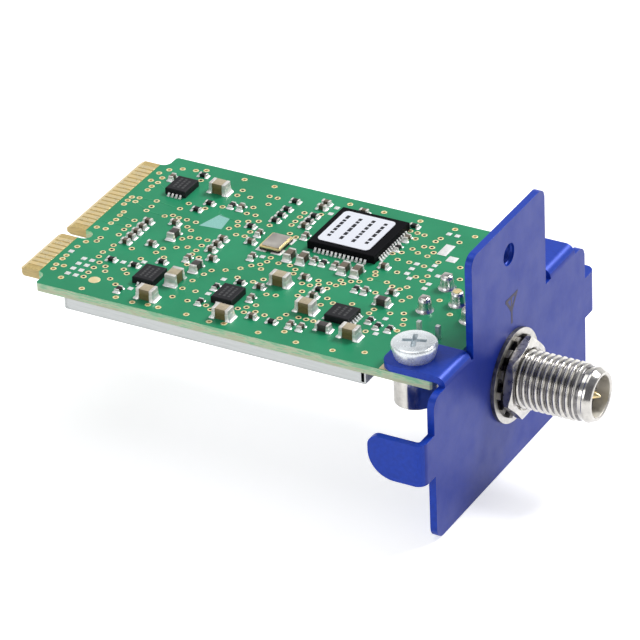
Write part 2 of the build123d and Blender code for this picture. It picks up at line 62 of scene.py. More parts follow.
# Camera: its place, what it looks at, its roll and its lens
camera_place = Vector((250.14, -391.57, 263.00)) * MM
camera_target = Vector((28.19, -4.05, -3.40)) * MM
camera_roll = math.radians(-2.38)
camera_lens = 277.53
camera_sensor = 36.0
camera_nearest = 0.01
camera_farthest = 20.0

# Stage: the floor, the lamps as (name, place, size, power) and the room round them
floor_size = 6.0
floor_gap = 0.1 * MM
floor_grain = 20 * MM
floor_tone = (0.80, 0.80, 0.81)
floor_glow = 0.62
lights = [
    ("key_light", (0.20, 0.36, 0.44), 0.22, 2.9),
    ("front_light", (-0.05, -0.55, 0.28), 0.35, 0.9),
    ("top_light", (-0.15, 0.05, 0.60), 0.45, 0.9),
]
world_light = 0.55
ceiling_tone = (0.30, 0.31, 0.34)
ceiling_start = 0.15
ceiling_full = 0.75
camera_side_tone = (0.16, 0.16, 0.18)
camera_side_range = (0.70, 0.90)

# Colours, as red, green and blue in linear light
white = (1.0, 1.0, 1.0)
mask_green = (0.016, 0.282, 0.128)
mask_green_deep = (0.011, 0.236, 0.104)
track_green = (0.024, 0.240, 0.108)
laminate_cream = (0.640, 0.790, 0.540)
laminate_green = (0.320, 0.680, 0.400)
laminate_yellow = (0.620, 0.660, 0.450)
# Tongue laminate between the contacts: its own brown, partly painted shade, kept darker to show the
# shade along the contacts' edges
laminate_brown_and_shade = (0.440, 0.330, 0.130)
laminate_gold = (0.780, 0.600, 0.270)
plug_brown = (0.300, 0.190, 0.060)
# Black for the discs set in the open vias' holes, a painted shade
hole_shade_black = (0.008, 0.010, 0.006)
gold_bright = (0.920, 0.710, 0.340)
gold_pale = (0.860, 0.730, 0.430)
ring_yellow = (0.900, 0.800, 0.500)
tin_bright = (0.760, 0.760, 0.750)
tin_dull = (0.620, 0.620, 0.610)
tin_white = (0.880, 0.880, 0.860)
end_metal = (0.740, 0.720, 0.680)
nickel_warm = (0.640, 0.620, 0.580)
# Darker nickel painted into the thread's grooves and onto the nut's flats: painted shade and painted
# dark reflection
nickel_painted_dark = (0.300, 0.290, 0.285)
# Near black for the washer's teeth, rim side and back: painted shade and painted dark reflection
washer_shade_dark = (0.110, 0.105, 0.098)
# Lighter nickel inside the jack's bore, a painted light
bore_lit_grey = (0.800, 0.770, 0.700)
zinc_bright = (0.920, 0.970, 0.985)
# Darker zinc for the cross recess, a painted shade
zinc_recess_shade_tone = (0.700, 0.780, 0.820)
shield_grey = (0.545, 0.565, 0.560)
lid_bright = (0.560, 0.530, 0.480)
lid_dull = (0.500, 0.460, 0.410)
# One blue coat in two tones: painted shade on the plate's front, painted light on the ears, hook and
# edges
blue_front_shaded = (0.009, 0.033, 0.340)
blue_sides_lit = (0.006, 0.052, 0.480)
mould_black = (0.007, 0.007, 0.009)
mould_deep = (0.004, 0.004, 0.005)
resistor_black = (0.012, 0.012, 0.012)
crystal_brown = (0.035, 0.028, 0.024)
# Chip capacitor bodies: a top tone and a much darker side tone for each family; the side tones are
# painted shade
ceramic_tan = (0.500, 0.420, 0.280)
ceramic_tan_shaded_side = (0.170, 0.130, 0.035)
ceramic_grey = (0.150, 0.118, 0.080)
ceramic_grey_shaded_side = (0.080, 0.055, 0.035)
ferrite_dark = (0.050, 0.042, 0.040)
insulator_white = (0.720, 0.690, 0.620)
paper_white = (0.780, 0.800, 0.860)
ink_black = (0.020, 0.020, 0.025)
ink_faint = (0.060, 0.060, 0.062)
etch_brown = (0.085, 0.078, 0.120)
mark_blue = (0.230, 0.470, 0.420)

# Surface detail: grain, relief, softened edges, and how the laminate's tone shifts with depth
metal_grain = 0.8 * MM
fine_metal_grain = 0.3 * MM
solder_grain = 0.6 * MM
sheet_grain = 0.5 * MM
metal_relief = 0.004 * MM
metal_edge = 0.03 * MM
film_edge = 0.01 * MM
resin_grain = 0.12 * MM
resin_relief = 0.01 * MM
resin_edge = 0.05 * MM
laminate_shift = (-0.16, 0.06)
usual_detail = 4.0
bevel_samples = 8

# Board: a printed or plated film on it, its mask, its vias and its bare pads
board_half_width = 15.0
board_bottom = -1.0 * MM
mask_edge = -0.9 * MM
film = 0.02 * MM
via_radius = 0.34 * MM
via_hole_radius = 0.17 * MM
via_sides = 18
pad_height = 0.05 * MM
pad_side = 0.56 * MM
pad_bevel = 0.02 * MM
crystal_pad = 0.95 * MM
crystal_pad_reach = 0.28 * MM
alignment_radius = 0.66 * MM
mark_sides = 40
track_width = 0.16 * MM
track_flank = 0.1
track_rise = 0.6

# A via's ring and the round mark from the outside in, as shares of the radius and the film
via_ring = [(1.0, 0.2), (0.9, 1.0), (0.55, 1.0), (0.5, 0.4)]
alignment_profile = [(1.0, 0.0), (0.95, 1.6)]

# Copper lands under the bracket's ears
land_start = 41.1 * MM
land_end = 46.9 * MM
land_outer = 14.92 * MM
land_inner = 8.95 * MM

# Chip parts: edges of the bodies and ends, and the slopes of solder round the ends
part_bevel = 0.05 * MM
skirt_rows = 5
skirt_corner_points = 4
skirt_rise = 0.58
skirt_margin = 0.01 * MM
skirt_side = 0.16 * MM
skirt_reach_share = 0.9
skirt_least_reach = 0.20 * MM
skirt_most_reach = 0.62 * MM
skirt_slope_power = 2.2
skirt_rise_power = 1.5
skirt_side_corner = 0.5
skirt_reach_corner = 0.3
skirt_corner_limit = 0.4

# A chip's lead seen from the side: shares of its reach and height, then sheets on top of that
lead_sheet = 0.14 * MM
lead_upper = [(0.0, 1, 0), (0.30, 1, 0), (0.42, 0.86, 0), (0.58, 0.42, 0), (0.70, 0, 1), (1.0, 0, 1)]
lead_lower = [(0.0, 1, -1), (0.22, 1, -1), (0.30, 0.66, 0), (0.46, 0.18, 0), (0.56, 0, 0), (1.0, 0, 0)]
lead_pad_margin = 0.05 * MM
lead_pad_start = 0.10 * MM
lead_pad_end = 0.12 * MM

# Shield can: its sheet, its fold and the slits at its corners
can_sheet = 0.2 * MM
can_fold = 0.4 * MM
can_slit = 0.35 * MM
can_corner_inset = 0.03 * MM

# Bracket: its sheet and the tapped hole in its crown
bracket_sheet = 0.8 * MM
crown_hole = (-0.35 * MM, 7.7 * MM)
collar_bore = 1.25 * MM
collar_turns = 3
collar_thread_depth = 0.14 * MM
collar_thread_start = 0.25 * MM
collar_pitch = 0.5 * MM
collar_sides = 40

# One ridge in the tapped hole: where along the pitch its foot, crest and other foot are
collar_ridge = (0.0, 0.35, 0.45, 0.8)

# Screws in the ears: shank and cross recess
screw_shank = 1.2 * MM
screw_tip = 0.001 * MM
screw_sides = 64
recess_span = 2.9 * MM
recess_width = 0.56 * MM
recess_depth = 0.60 * MM
recess_taper = 0.62
recess_lift = 0.2 * MM
recess_turn = math.radians(20)

# A screw head from its seat up, as shares of its radius and height
screw_head = [
    (0.86, 0.0), (0.90, 0.15), (0.965, 0.48), (1.0, 0.68), (1.0, 0.78), (0.985, 0.86),
    (0.94, 0.92), (0.86, 0.96), (0.5, 0.99), (0.22, 1.0), (0.0, 1.0),
]

# A solder joint round a leg from the board up, as shares of its radius and height
joint_sides = 32
solder_joint = [
    (1.02, 0.0), (0.97, 0.04), (0.86, 0.12), (0.78, 0.28), (0.74, 0.55), (0.72, 0.85),
    (0.66, 1.02), (0.50, 1.10), (0.30, 1.12),
]

# Jack: its axis, its block with four legs, and the ring of its toothed washer
jack_axis_z = -7.0 * MM
block_front = 45.6 * MM
block_half_width = 3.2 * MM
block_top = -1.2 * MM
block_bevel = 0.35 * MM
leg_spacing = 2.54 * MM
leg_half_side = 0.5 * MM
leg_root = -1.6 * MM
leg_bevel = 0.12 * MM
washer_ring_radius = 4.53 * MM

# The jack's turned shell, all in mm; a list holds (distance, radius) from the plane it names
bore_radius = 2.25
shell_from_block = [(-1.0, 2.9)]
shell_from_plate = [(-1.1, 2.9), (-1.1, 3.85), (-1.0, 4.0), (-0.02, 4.0)]
shell_from_thread = [(0.06, 2.84), (0.50, 2.84), (0.62, 3.02), (0.85, 3.00)]
shell_from_mouth = [
    (-0.08, 2.68), (0.0, 2.60), (0.0, 2.36), (-0.12, bore_radius), (-2.4, bore_radius),
    (-2.4, 2.05), (-6.0, 2.05),
]
nose_length = 1.55 * MM
thread_seam = 0.01 * MM
crisp_inset = 0.03 * MM

# Screw thread of the jack: 36 turns to the inch, 6.35 mm across
thread_pitch = 25.4 / 36 * MM
thread_radius = 3.17 * MM
thread_depth = 0.34 * MM
thread_steps = 14
thread_sides = 72
thread_blunt = 0.18
thread_last = 0.2
groove_share = 0.55

# Hexagon nut on the jack
nut_flats = 8.0 * MM
nut_turn = math.radians(14.0)
nut_face_share = 0.985
nut_chamfer_slope = 0.45
nut_clearance = 0.03 * MM
nut_countersink = 0.25 * MM
nut_columns = 72

# Bars that stand for print on the label and the chips
print_lift = 0.012 * MM
label_margin = 0.9 * MM
label_end_share = 0.7
label_columns = 4
label_bar_width = 0.40 * MM
label_bar_gap = 0.42 * MM
label_first_gap = (0, 0.5)
label_bar_range = (0.35, 0.8)
chip_bar_rows = 3
chip_bar_spare_rows = 1.6
chip_bar_first_row = 1.1
chip_bar_width = 0.28 * MM
chip_bar_gap = 0.12 * MM
chip_bar_range = (0.2, 0.4)
chip_bar_start = 0.55 * MM
chip_bar_last = 0.6 * MM
chip_bar_end = 0.45 * MM

# Symbol above the jack: the middle of its mast, its size and its strokes
symbol_centre = (0.05 * MM, 0.9 * MM)
symbol_height = 3.0 * MM
symbol_spread = 0.8
symbol_joint = -0.1
symbol_stroke = 0.36 * MM
symbol_depth = 0.02 * MM
symbol_layer = 0.003 * MM
symbol_lift = 0.008 * MM

# Meshing: angle above which an edge stays sharp, and the distance within which points join
sharp_angle = 35.0
round_angle = 80.0
weld_distance = 0.0005 * MM

# Places on the board: distance from the shoulder and from the near edge, in mm
near_edge_vias = [
    (1.9, 2.05), (5.1, 1.0), (9.3, 0.95), (11.4, 0.8), (13.15, 1.05), (14.4, 1.05), (17.8, 1.05),
    (20.7, 0.8), (22.3, 1.1), (26.4, 1.05), (30.9, 1.0), (35.1, 1.2), (38.3, 2.25), (28.8, 2.35),
    (39.3, 7.5), (40.45, 14.85), (42.75, 12.75),
]
far_edge_vias = [
    (1.85, 28.0), (3.35, 28.3), (4.4, 28.8), (9.2, 28.8), (12.95, 28.8), (22.3, 28.85),
    (26.45, 28.85), (30.9, 28.8), (35.1, 28.8), (37.75, 28.3),
]
finger_vias = [
    (0.2, 3.3), (0.0, 4.2), (0.9, 4.3), (0.0, 5.5), (0.0, 6.3), (0.1, 8.4), (0.4, 9.7),
    (-0.15, 12.9), (0.9, 13.0), (0.8, 14.3), (0.9, 15.2), (0.8, 16.2), (0.8, 17.0),
    (-0.05, 18.5), (-0.1, 19.4), (-0.05, 20.2), (0.8, 19.5), (0.8, 20.4), (0.7, 22.3),
    (0.7, 23.2), (-0.05, 24.3), (0.9, 24.2), (0.8, 25.3), (-0.05, 26.1), (0.6, 27.2),
]
near_left_vias = [
    (5.65, 10.5), (8.4, 10.9), (9.7, 10.35), (12.7, 10.1), (15.7, 10.1), (15.35, 9.05),
    (7.6, 9.05), (5.0, 6.05), (7.1, 6.35), (7.85, 5.7), (5.5, 5.15), (6.8, 4.0), (7.9, 3.25),
    (14.75, 5.55), (14.65, 3.6), (4.0, 3.2), (4.0, 4.2), (4.0, 5.3), (4.0, 6.5), (3.5, 10.3),
    (3.2, 8.55), (3.3, 7.55), (3.8, 9.4), (1.4, 11.1), (1.4, 10.3), (14.9, 7.4),
]
near_right_vias = [
    (17.0, 10.8), (18.9, 10.0), (20.85, 9.9), (21.6, 10.8), (16.3, 5.6), (16.5, 3.55),
    (18.75, 3.55), (19.6, 3.0), (23.4, 8.2), (24.4, 8.45), (23.5, 5.8), (22.8, 5.0),
    (22.1, 4.4), (23.05, 4.0), (24.1, 4.6), (25.3, 4.4), (27.05, 4.5), (27.3, 5.45),
    (28.75, 5.5), (29.65, 5.5), (30.5, 5.5), (26.5, 10.35), (26.5, 9.4), (29.6, 10.2),
    (29.6, 8.75), (30.6, 9.6), (32.5, 10.3), (35.1, 10.3), (35.0, 9.4), (37.0, 10.3),
    (36.4, 6.0), (38.9, 9.8), (39.9, 6.4), (40.2, 5.6),
]
middle_left_vias = [
    (8.7, 17.1), (9.45, 16.6), (2.8, 15.9), (2.8, 14.6), (2.8, 13.7), (2.85, 12.5),
    (10.1, 15.25), (11.05, 15.45), (12.1, 15.5), (9.5, 14.6), (12.1, 14.25), (10.9, 13.3),
    (12.1, 13.1), (9.85, 12.75), (12.1, 12.2), (8.65, 11.95), (13.1, 11.9), (14.3, 17.85),
    (15.3, 17.95), (15.4, 19.0), (5.3, 18.1), (6.05, 18.6), (6.9, 18.4), (7.9, 18.4),
    (9.05, 18.35), (2.95, 19.3), (2.9, 18.3), (13.5, 19.6), (12.95, 18.7), (13.1, 20.4),
]
far_left_vias = [
    (4.95, 26.6), (10.2, 26.6), (13.5, 26.7), (14.5, 26.7), (10.2, 25.4), (11.7, 25.6),
    (14.25, 25.1), (13.1, 23.8), (13.1, 22.35), (10.0, 22.5), (14.15, 22.4), (6.3, 21.6),
    (8.45, 21.4), (15.1, 21.4), (14.1, 20.9), (16.6, 21.15), (2.85, 20.6), (6.0, 20.2),
    (18.7, 25.1), (18.7, 24.1), (18.7, 23.05), (18.7, 22.2), (19.45, 20.5), (20.4, 20.1),
]
middle_vias = [
    (18.25, 11.8), (20.1, 15.1), (20.15, 14.2), (19.75, 13.4), (19.0, 12.8), (20.3, 12.6),
    (21.4, 14.45), (22.75, 14.55), (23.65, 14.05), (27.4, 12.35), (27.0, 13.05),
    (28.3, 13.05), (29.15, 12.95), (29.1, 14.1), (29.65, 13.6), (30.2, 14.35), (31.0, 14.7),
    (25.7, 11.8), (26.65, 11.8), (28.6, 12.0), (23.9, 13.2),
]
far_right_vias = [
    (31.8, 26.4), (32.7, 26.3), (34.6, 26.4), (34.4, 25.6), (36.8, 26.5), (32.2, 25.2),
    (33.8, 24.1), (34.65, 24.3), (32.9, 23.15), (35.3, 23.4), (33.8, 22.65), (35.05, 22.45),
    (32.2, 22.0), (36.7, 21.8), (31.4, 21.4), (32.5, 20.5), (33.9, 20.5), (35.7, 20.45),
    (37.0, 18.75), (35.95, 18.1), (33.7, 18.1), (37.0, 17.6), (31.6, 17.2), (31.9, 16.6),
    (31.8, 15.6), (33.7, 15.8), (34.6, 15.3), (35.6, 15.1), (36.1, 15.8), (37.3, 14.1),
    (36.9, 13.1), (33.6, 13.4), (38.3, 10.9), (40.4, 19.6), (39.3, 21.8), (30.9, 26.45),
    (39.3, 8.8), (20.5, 25.55),
]
bare_pads = [
    (0.05, 7.25), (6.3, 7.6), (8.3, 8.55), (9.8, 3.15), (17.8, 9.0), (17.8, 5.7), (34.8, 20.5),
    (34.8, 19.4), (34.8, 18.3), (35.5, 17.5), (36.7, 21.0), (36.7, 20.0), (35.0, 27.6),
    (36.0, 27.6), (38.0, 19.2), (37.9, 17.3), (37.9, 16.3), (37.1, 9.1), (37.6, 6.0), (19.2, 14.9),
    (21.4, 27.5), (21.4, 26.1),
]
pad_grid_start = (2.1, 3.1)
pad_grid_steps = (1.0, 1.13)
pad_grid_counts = (2, 4)
large_pads = [((36.3, 24.4), (1.1, 2.3)), ((37.8, 22.9), (1.1, 1.1))]
alignment_place = (5.4, 3.1)
board_mark = [(9.7, 17.9), (12.3, 18.2), (12.0, 20.6), (10.6, 21.0)]
tracks = [
    [(-0.2, 14.3), (0.8, 14.3), (2.8, 14.6)],
    [(0.8, 16.2), (2.8, 15.9)],
    [(0.8, 19.5), (2.9, 18.3), (5.3, 18.1)],
    [(0.8, 20.4), (2.85, 20.6), (6.0, 20.2)],
    [(0.9, 24.2), (2.4, 23.2)],
    [(6.9, 18.4), (6.9, 17.6)],
    [(10.0, 22.5), (10.4, 20.9), (13.1, 20.4)],
    [(14.2, 18.8), (14.3, 17.85)],
    [(9.7, 10.35), (10.6, 9.5)],
    [(15.35, 9.05), (15.0, 7.4), (14.75, 5.55)],
    [(17.0, 10.8), (18.25, 11.8), (20.3, 12.6)],
    [(20.85, 9.9), (21.8, 9.3)],
    [(23.4, 8.2), (22.5, 7.2)],
    [(27.05, 4.5), (27.0, 3.6)],
    [(31.0, 14.7), (31.8, 15.6), (33.7, 15.8)],
    [(33.9, 20.5), (34.8, 20.5)],
    [(35.0, 22.4), (36.7, 21.8)],
    [(30.6, 9.6), (31.6, 8.9)],
    [(36.4, 6.0), (37.6, 6.0)],
    [(24.3, 26.9), (23.0, 27.9), (22.3, 28.85)],
]

# Which finish each CAD node has, also where a dressed piece stands for the node
node_finishes = {
    "mask": ["circuit_board"],
    "blue": ["bracket"],
    "zinc": ["ear_screws"],
    "nickel": ["board_nuts", "jack_shell", "hex_nut"],
    "washer": ["lock_washer"],
    "insulator": ["jack_insulator"],
    "gold": ["top_contacts", "bottom_contacts", "jack_pin", "crystal_ring"],
    "solder": ["solder_joints"],
    "shield": ["shield_can"],
    "deep_mould": ["main_chip"],
    "mould": [
        "transceiver_chip", "amplifier_chip", "memory_chip", "front_regulator", "rear_regulator",
        "antenna_switch",
    ],
    "paper": ["chip_label"],
    "crystal_base": ["crystal_base"],
    "crystal_lid": ["band_filters", "clock_oscillator", "crystal_lid"],
    "tan": ["bulk_capacitor_bodies"],
    "olive": ["middle_capacitor_bodies", "small_capacitor_bodies"],
    "ferrite": ["ferrite_bead_bodies"],
    "resistor": ["resistor_bodies"],
    "tin": [
        "header_pins", "main_chip_leads", "memory_chip_leads", "regulator_leads",
        "antenna_switch_leads", "bulk_capacitor_ends", "middle_capacitor_ends",
        "ferrite_bead_ends", "small_capacitor_ends", "resistor_ends",
    ],
}

# Families of chip parts: name, finish of the body, material slot
chip_part_families = [
    ("bulk_capacitor", "tan", "tan_ceramic"),
    ("middle_capacitor", "olive", "tan_ceramic"),
    ("ferrite_bead", "ferrite", "dark_ferrite"),
    ("small_capacitor", "olive", "tan_ceramic"),
    ("resistor", "resistor", "resistor_glaze"),
]

# Which chips each node of leads belongs to
lead_owners = {
    "main_chip_leads": ["main_chip"],
    "memory_chip_leads": ["memory_chip"],
    "regulator_leads": ["front_regulator", "rear_regulator"],
    "antenna_switch_leads": ["antenna_switch"],
}


# Small mesh tools


def link(name, data):
    item = bpy.data.objects.new(name, data)
    bpy.context.scene.collection.objects.link(item)
    return item


def make_object(name, bm, material):
    """Turns a bmesh into an object with one material."""
    mesh = bpy.data.meshes.new(name)
    bm.to_mesh(mesh)
    bm.free()
    mesh.materials.append(material)
    return link(name, mesh)


def finish_piece(name, bm, material, replaced=(), smooth_angle=sharp_angle):
    """Turns a bmesh into a piece that rides on the one body."""
    bmesh.ops.recalc_face_normals(bm, faces=bm.faces)
    for face in bm.faces:
        face.smooth = True
    for edge in bm.edges:
        if len(edge.link_faces) == 2 and edge.calc_face_angle(0) > math.radians(smooth_angle):
            edge.smooth = False
    piece = make_object(name, bm, material)
    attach(piece, "root")
    if replaced:
        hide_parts(*replaced)
    return piece


def paint_where(piece, material, chosen):
    """Gives another material to the faces that pass a test."""
    piece.data.materials.append(material)
    last = len(piece.data.materials) - 1
    for face in piece.data.polygons:
        if chosen(face):
            face.material_index = last


def add_box(bm, low, high, bevel=0.0, segments=2, lift_bottom=False):
    """A box with rounded edges between two corners; its bottom edges may stay sharp."""
    verts = bmesh.ops.create_cube(bm, size=1.0)["verts"]
    size = Vector(high) - Vector(low)
    middle = (Vector(high) + Vector(low)) / 2
    for v in verts:
        v.co = v.co * size + middle
    if bevel > 0:
        edges = {e for v in verts for e in v.link_edges}
        if lift_bottom:
            edges = {e for e in edges if max(v.co.z for v in e.verts) > low[2] + size.z / 2}
        bmesh.ops.bevel(
            bm, geom=list(edges), offset=bevel, segments=segments, profile=0.5, affect="EDGES"
        )


def add_rows(bm, rows, closed=False, capped=False):
    """A skin over rows of points that each go once round; its ends may join or be capped."""
    rings = [[bm.verts.new(point) for point in row] for row in rows]
    following = rings[1:] + rings[:1] if closed else rings[1:]
    for a, b in zip(rings, following):
        for i in range(len(a)):
            j = (i + 1) % len(a)
            bm.faces.new((a[i], a[j], b[j], b[i]))
    if capped:
        bm.faces.new(rings[0])
        bm.faces.new(rings[-1])


def add_slab(bm, outline, bottom, top):
    """A thin solid between two heights over an outline of (x, y) points."""
    add_rows(bm, [[(x, y, z) for x, y in outline] for z in (bottom, top)], capped=True)


def circle(radius, sides):
    """Points evenly round a circle."""
    angles = [2 * math.pi * i / sides for i in range(sides)]
    return [(radius * math.cos(a), radius * math.sin(a)) for a in angles]


def add_ring(bm, centre, profile, sides, **ends):
    """A body turned about a line up through centre; profile is (radius, height) pairs."""
    rows = [
        [(centre[0] + x, centre[1] + y, height) for x, y in circle(radius, sides)]
        for radius, height in profile
    ]
    add_rows(bm, rows, **ends)


def add_turned(bm, stations, axis_y, axis_z, sides, **ends):
    """A surface turned about a line along X; stations are (x, radius) pairs."""
    rows = [
        [(x, axis_y + y, axis_z + z) for y, z in circle(radius, sides)] for x, radius in stations
    ]
    add_rows(bm, rows, **ends)


def scaled(profile, radius, base, height):
    """A profile given in shares, at its real radius and heights."""
    return [(radius * r, base + height * h) for r, h in profile]


def close_holes(bm):
    """Joins points that coincide and caps every open end."""
    bmesh.ops.remove_doubles(bm, verts=bm.verts[:], dist=weld_distance)
    bmesh.ops.dissolve_degenerate(bm, edges=bm.edges[:], dist=weld_distance)
    bmesh.ops.holes_fill(bm, edges=[edge for edge in bm.edges if edge.is_boundary], sides=0)


def islands(node):
    """Lowest and highest corner of every separate solid in a CAD node."""
    mesh = nodes[node].data
    key = {}
    parent = []

    def find(i):
        while parent[i] != i:
            parent[i] = parent[parent[i]]
            i = parent[i]
        return i

    index = []
    for v in mesh.vertices:
        place = tuple(round(c, 7) for c in v.co)
        if place not in key:
            key[place] = len(parent)
            parent.append(len(parent))
        index.append(key[place])
    for polygon in mesh.polygons:
        first = find(index[polygon.vertices[0]])
        for v in polygon.vertices[1:]:
            parent[find(index[v])] = first
    groups = {}
    for place, i in key.items():
        groups.setdefault(find(i), []).append(place)
    boxes = []
    for group in groups.values():
        low = Vector([min(p[a] for p in group) for a in range(3)])
        high = Vector([max(p[a] for p in group) for a in range(3)])
        boxes.append((low, high))
    return sorted(boxes, key=lambda box: (round(box[0].x, 5), round(box[0].y, 5)))


def middle_of(box):
    """The middle of a box given by its lowest and highest corner."""
    return (box[0] + box[1]) / 2


def outward_from(box, bodies):
    """The direction along X or Y in which a box stands out of the body nearest to it."""
    centre = middle_of(box)
    low, high = min(bodies, key=lambda b: (middle_of(b) - centre).length)
    away = centre - middle_of((low, high))
    past_x = max(centre.x - high.x, low.x - centre.x)
    past_y = max(centre.y - high.y, low.y - centre.y)
    if past_x > past_y:
        return Vector((math.copysign(1, away.x), 0, 0))
    return Vector((0, math.copysign(1, away.y), 0))


def on_board(places):
    """Points in the part's frame from distances to the shoulder and the near edge, in mm."""
    return [(x * MM, (y - board_half_width) * MM) for x, y in places]


# Materials


def shade(colour, share):
    return tuple(share * c for c in colour)


def lighter(colour, share, lift):
    """A paler tone of a dark colour, at most white."""
    return tuple(min(1.0, c * share + lift) for c in colour)


class Graph:
    """A node tree with short ways to add nodes to it."""

    def __init__(self, tree):
        self.tree = tree
        self.nodes = tree.nodes

    def new(self, kind, **settings):
        node = self.nodes.new(kind)
        for name, value in settings.items():
            setattr(node, name, value)
        return node

    def join(self, a, b):
        self.tree.links.new(a, b)

    def split(self, vector):
        """The X, Y and Z of a vector, by name."""
        node = self.new("ShaderNodeSeparateXYZ")
        self.join(vector, node.inputs["Vector"])
        return node.outputs

    def calculate(self, operation, value, other=None):
        """An operation on a socket and, if given, a number or a second socket."""
        node = self.new("ShaderNodeMath", operation=operation)
        self.join(value, node.inputs[0])
        if isinstance(other, float):
            node.inputs[1].default_value = other
        elif other is not None:
            self.join(other, node.inputs[1])
        return node.outputs["Value"]

    def vector(self, operation, value, other=None):
        """An operation on a vector and, if given, a fixed one."""
        node = self.new("ShaderNodeVectorMath", operation=operation)
        self.join(value, node.inputs[0])
        if other is not None:
            node.inputs[1].default_value = other
        return node.outputs

    def rescale(self, value, source, result):
        """Maps one range of numbers onto another."""
        node = self.new("ShaderNodeMapRange")
        for name, number in zip(("From Min", "From Max", "To Min", "To Max"), (*source, *result)):
            node.inputs[name].default_value = number
        self.join(value, node.inputs["Value"])
        return node.outputs["Result"]

    def ramp(self, value, stops):
        node = self.new("ShaderNodeValToRGB")
        elements = node.color_ramp.elements
        while len(elements) < len(stops):
            elements.new(0.5)
        for element, (position, colour) in zip(elements, stops):
            element.position = position
            element.color = (*colour, 1)
        self.join(value, node.inputs["Fac"])
        return node.outputs["Color"]

    def mix(self, factor, a, b):
        """From a to b, each a colour or a socket."""
        node = self.new("ShaderNodeMix", data_type="RGBA")
        self.join(factor, node.inputs["Factor"])
        for socket, value in ((node.inputs["A"], a), (node.inputs["B"], b)):
            if isinstance(value, tuple):
                socket.default_value = (*value, 1)
            else:
                self.join(value, socket)
        return node.outputs["Result"]

    def shown_directly(self):
        """1 for rays that show the backdrop to the eye, in a mirror or through glass, else 0."""
        path = self.new("ShaderNodeLightPath")
        factor = path.outputs["Is Camera Ray"]
        for name in ("Is Glossy Ray", "Is Transmission Ray"):
            factor = self.calculate("MAXIMUM", factor, path.outputs[name])
        return factor


class Shader(Graph):
    """A Principled material; edge is the radius by which its sharp edges are softened."""

    def __init__(self, name, colour, metallic=0.0, roughness=0.5, specular=0.5, edge=0.0):
        self.material = bpy.data.materials.new(name)
        self.material.use_nodes = True
        super().__init__(self.material.node_tree)
        self.surface = self.nodes["Principled BSDF"]
        self.surface.inputs["Base Color"].default_value = (*colour, 1)
        self.surface.inputs["Metallic"].default_value = metallic
        self.surface.inputs["Roughness"].default_value = roughness
        self.surface.inputs["Specular IOR Level"].default_value = specular
        self.place = self.new("ShaderNodeTexCoord").outputs["Object"]
        self.normal = None
        if edge > 0:
            bevel = self.new("ShaderNodeBevel", samples=bevel_samples)
            bevel.inputs["Radius"].default_value = edge
            self.bend(bevel.outputs["Normal"])

    def bend(self, normal):
        self.normal = normal
        self.join(normal, self.surface.inputs["Normal"])

    def noise(self, grain, detail=usual_detail, stretch=(1, 1, 1)):
        """A noise pattern whose grain is given in metres."""
        mapping = self.new("ShaderNodeMapping")
        mapping.inputs["Scale"].default_value = [s / grain for s in stretch]
        self.join(self.place, mapping.inputs["Vector"])
        node = self.new("ShaderNodeTexNoise")
        node.inputs["Scale"].default_value = 1.0
        node.inputs["Detail"].default_value = detail
        self.join(mapping.outputs["Vector"], node.inputs["Vector"])
        return node.outputs["Fac"]

    def two_tone(self, value, first, second, low=0.3, high=0.7):
        """The first colour where a pattern is low, the second where it is high."""
        return self.ramp(value, [(low, first), (high, second)])

    def spread(self, value, low, high):
        """Numbers between low and high that follow a noise pattern."""
        return self.rescale(value, (0.3, 0.7), (low, high))

    def facing(self, axis):
        """How far the surface faces along an axis, from -1 to 1."""
        return self.split(self.new("ShaderNodeNewGeometry").outputs["Normal"])[axis]

    def upright(self):
        """1 on faces that look up or down, 0 on faces that look sideways."""
        return self.calculate("ABSOLUTE", self.facing("Z"))

    def colour(self, socket):
        self.join(socket, self.surface.inputs["Base Color"])

    def roughness(self, socket):
        self.join(socket, self.surface.inputs["Roughness"])

    def bump(self, value, height, strength):
        node = self.new("ShaderNodeBump")
        node.inputs["Strength"].default_value = strength
        node.inputs["Distance"].default_value = height
        self.join(value, node.inputs["Height"])
        if self.normal is not None:
            self.join(self.normal, node.inputs["Normal"])
        self.bend(node.outputs["Normal"])


def solder_mask_board():
    """Green mask on both faces, bare laminate on the tongue and the cut edges."""
    shader = Shader("solder_mask", mask_green, roughness=0.38, specular=0.28, edge=0.04 * MM)
    cloud = shader.noise(9 * MM, detail=3.0)
    mottle = shader.two_tone(cloud, mask_green_deep, mask_green, low=0.35, high=0.65)
    fibre = shader.noise(0.25 * MM, detail=2.0, stretch=(1, 1, 12))
    streaks = shader.noise(0.35 * MM, stretch=(0.25, 0.25, 2.2))
    place = shader.split(shader.place)
    depth = shader.rescale(place["Z"], source=(0.0, board_bottom), result=laminate_shift)
    layers = shader.calculate("ADD", streaks, depth)
    laminate = shader.ramp(
        layers, [(0.34, laminate_green), (0.46, laminate_cream), (0.60, laminate_yellow)]
    )
    tongue_side = shader.two_tone(streaks, shade(laminate_gold, 0.8), laminate_gold, high=0.6)
    # The tongue's top takes the laminate brown, partly painted shade
    tongue_face = shader.two_tone(fibre, laminate_brown_and_shade, shade(laminate_brown_and_shade, 1.5), high=0.8)
    on_tongue = shader.calculate("LESS_THAN", place["X"], mask_edge)
    on_side = shader.calculate("LESS_THAN", shader.upright(), 0.9)
    face_tone = shader.mix(on_tongue, mottle, tongue_face)
    side_tone = shader.mix(on_tongue, laminate, tongue_side)
    shader.colour(shader.mix(on_side, face_tone, side_tone))
    shader.roughness(shader.spread(shader.noise(1.5 * MM), low=0.30, high=0.42))
    shader.bump(shader.noise(0.6 * MM, detail=3.0), height=0.008 * MM, strength=0.35)
    return shader.material


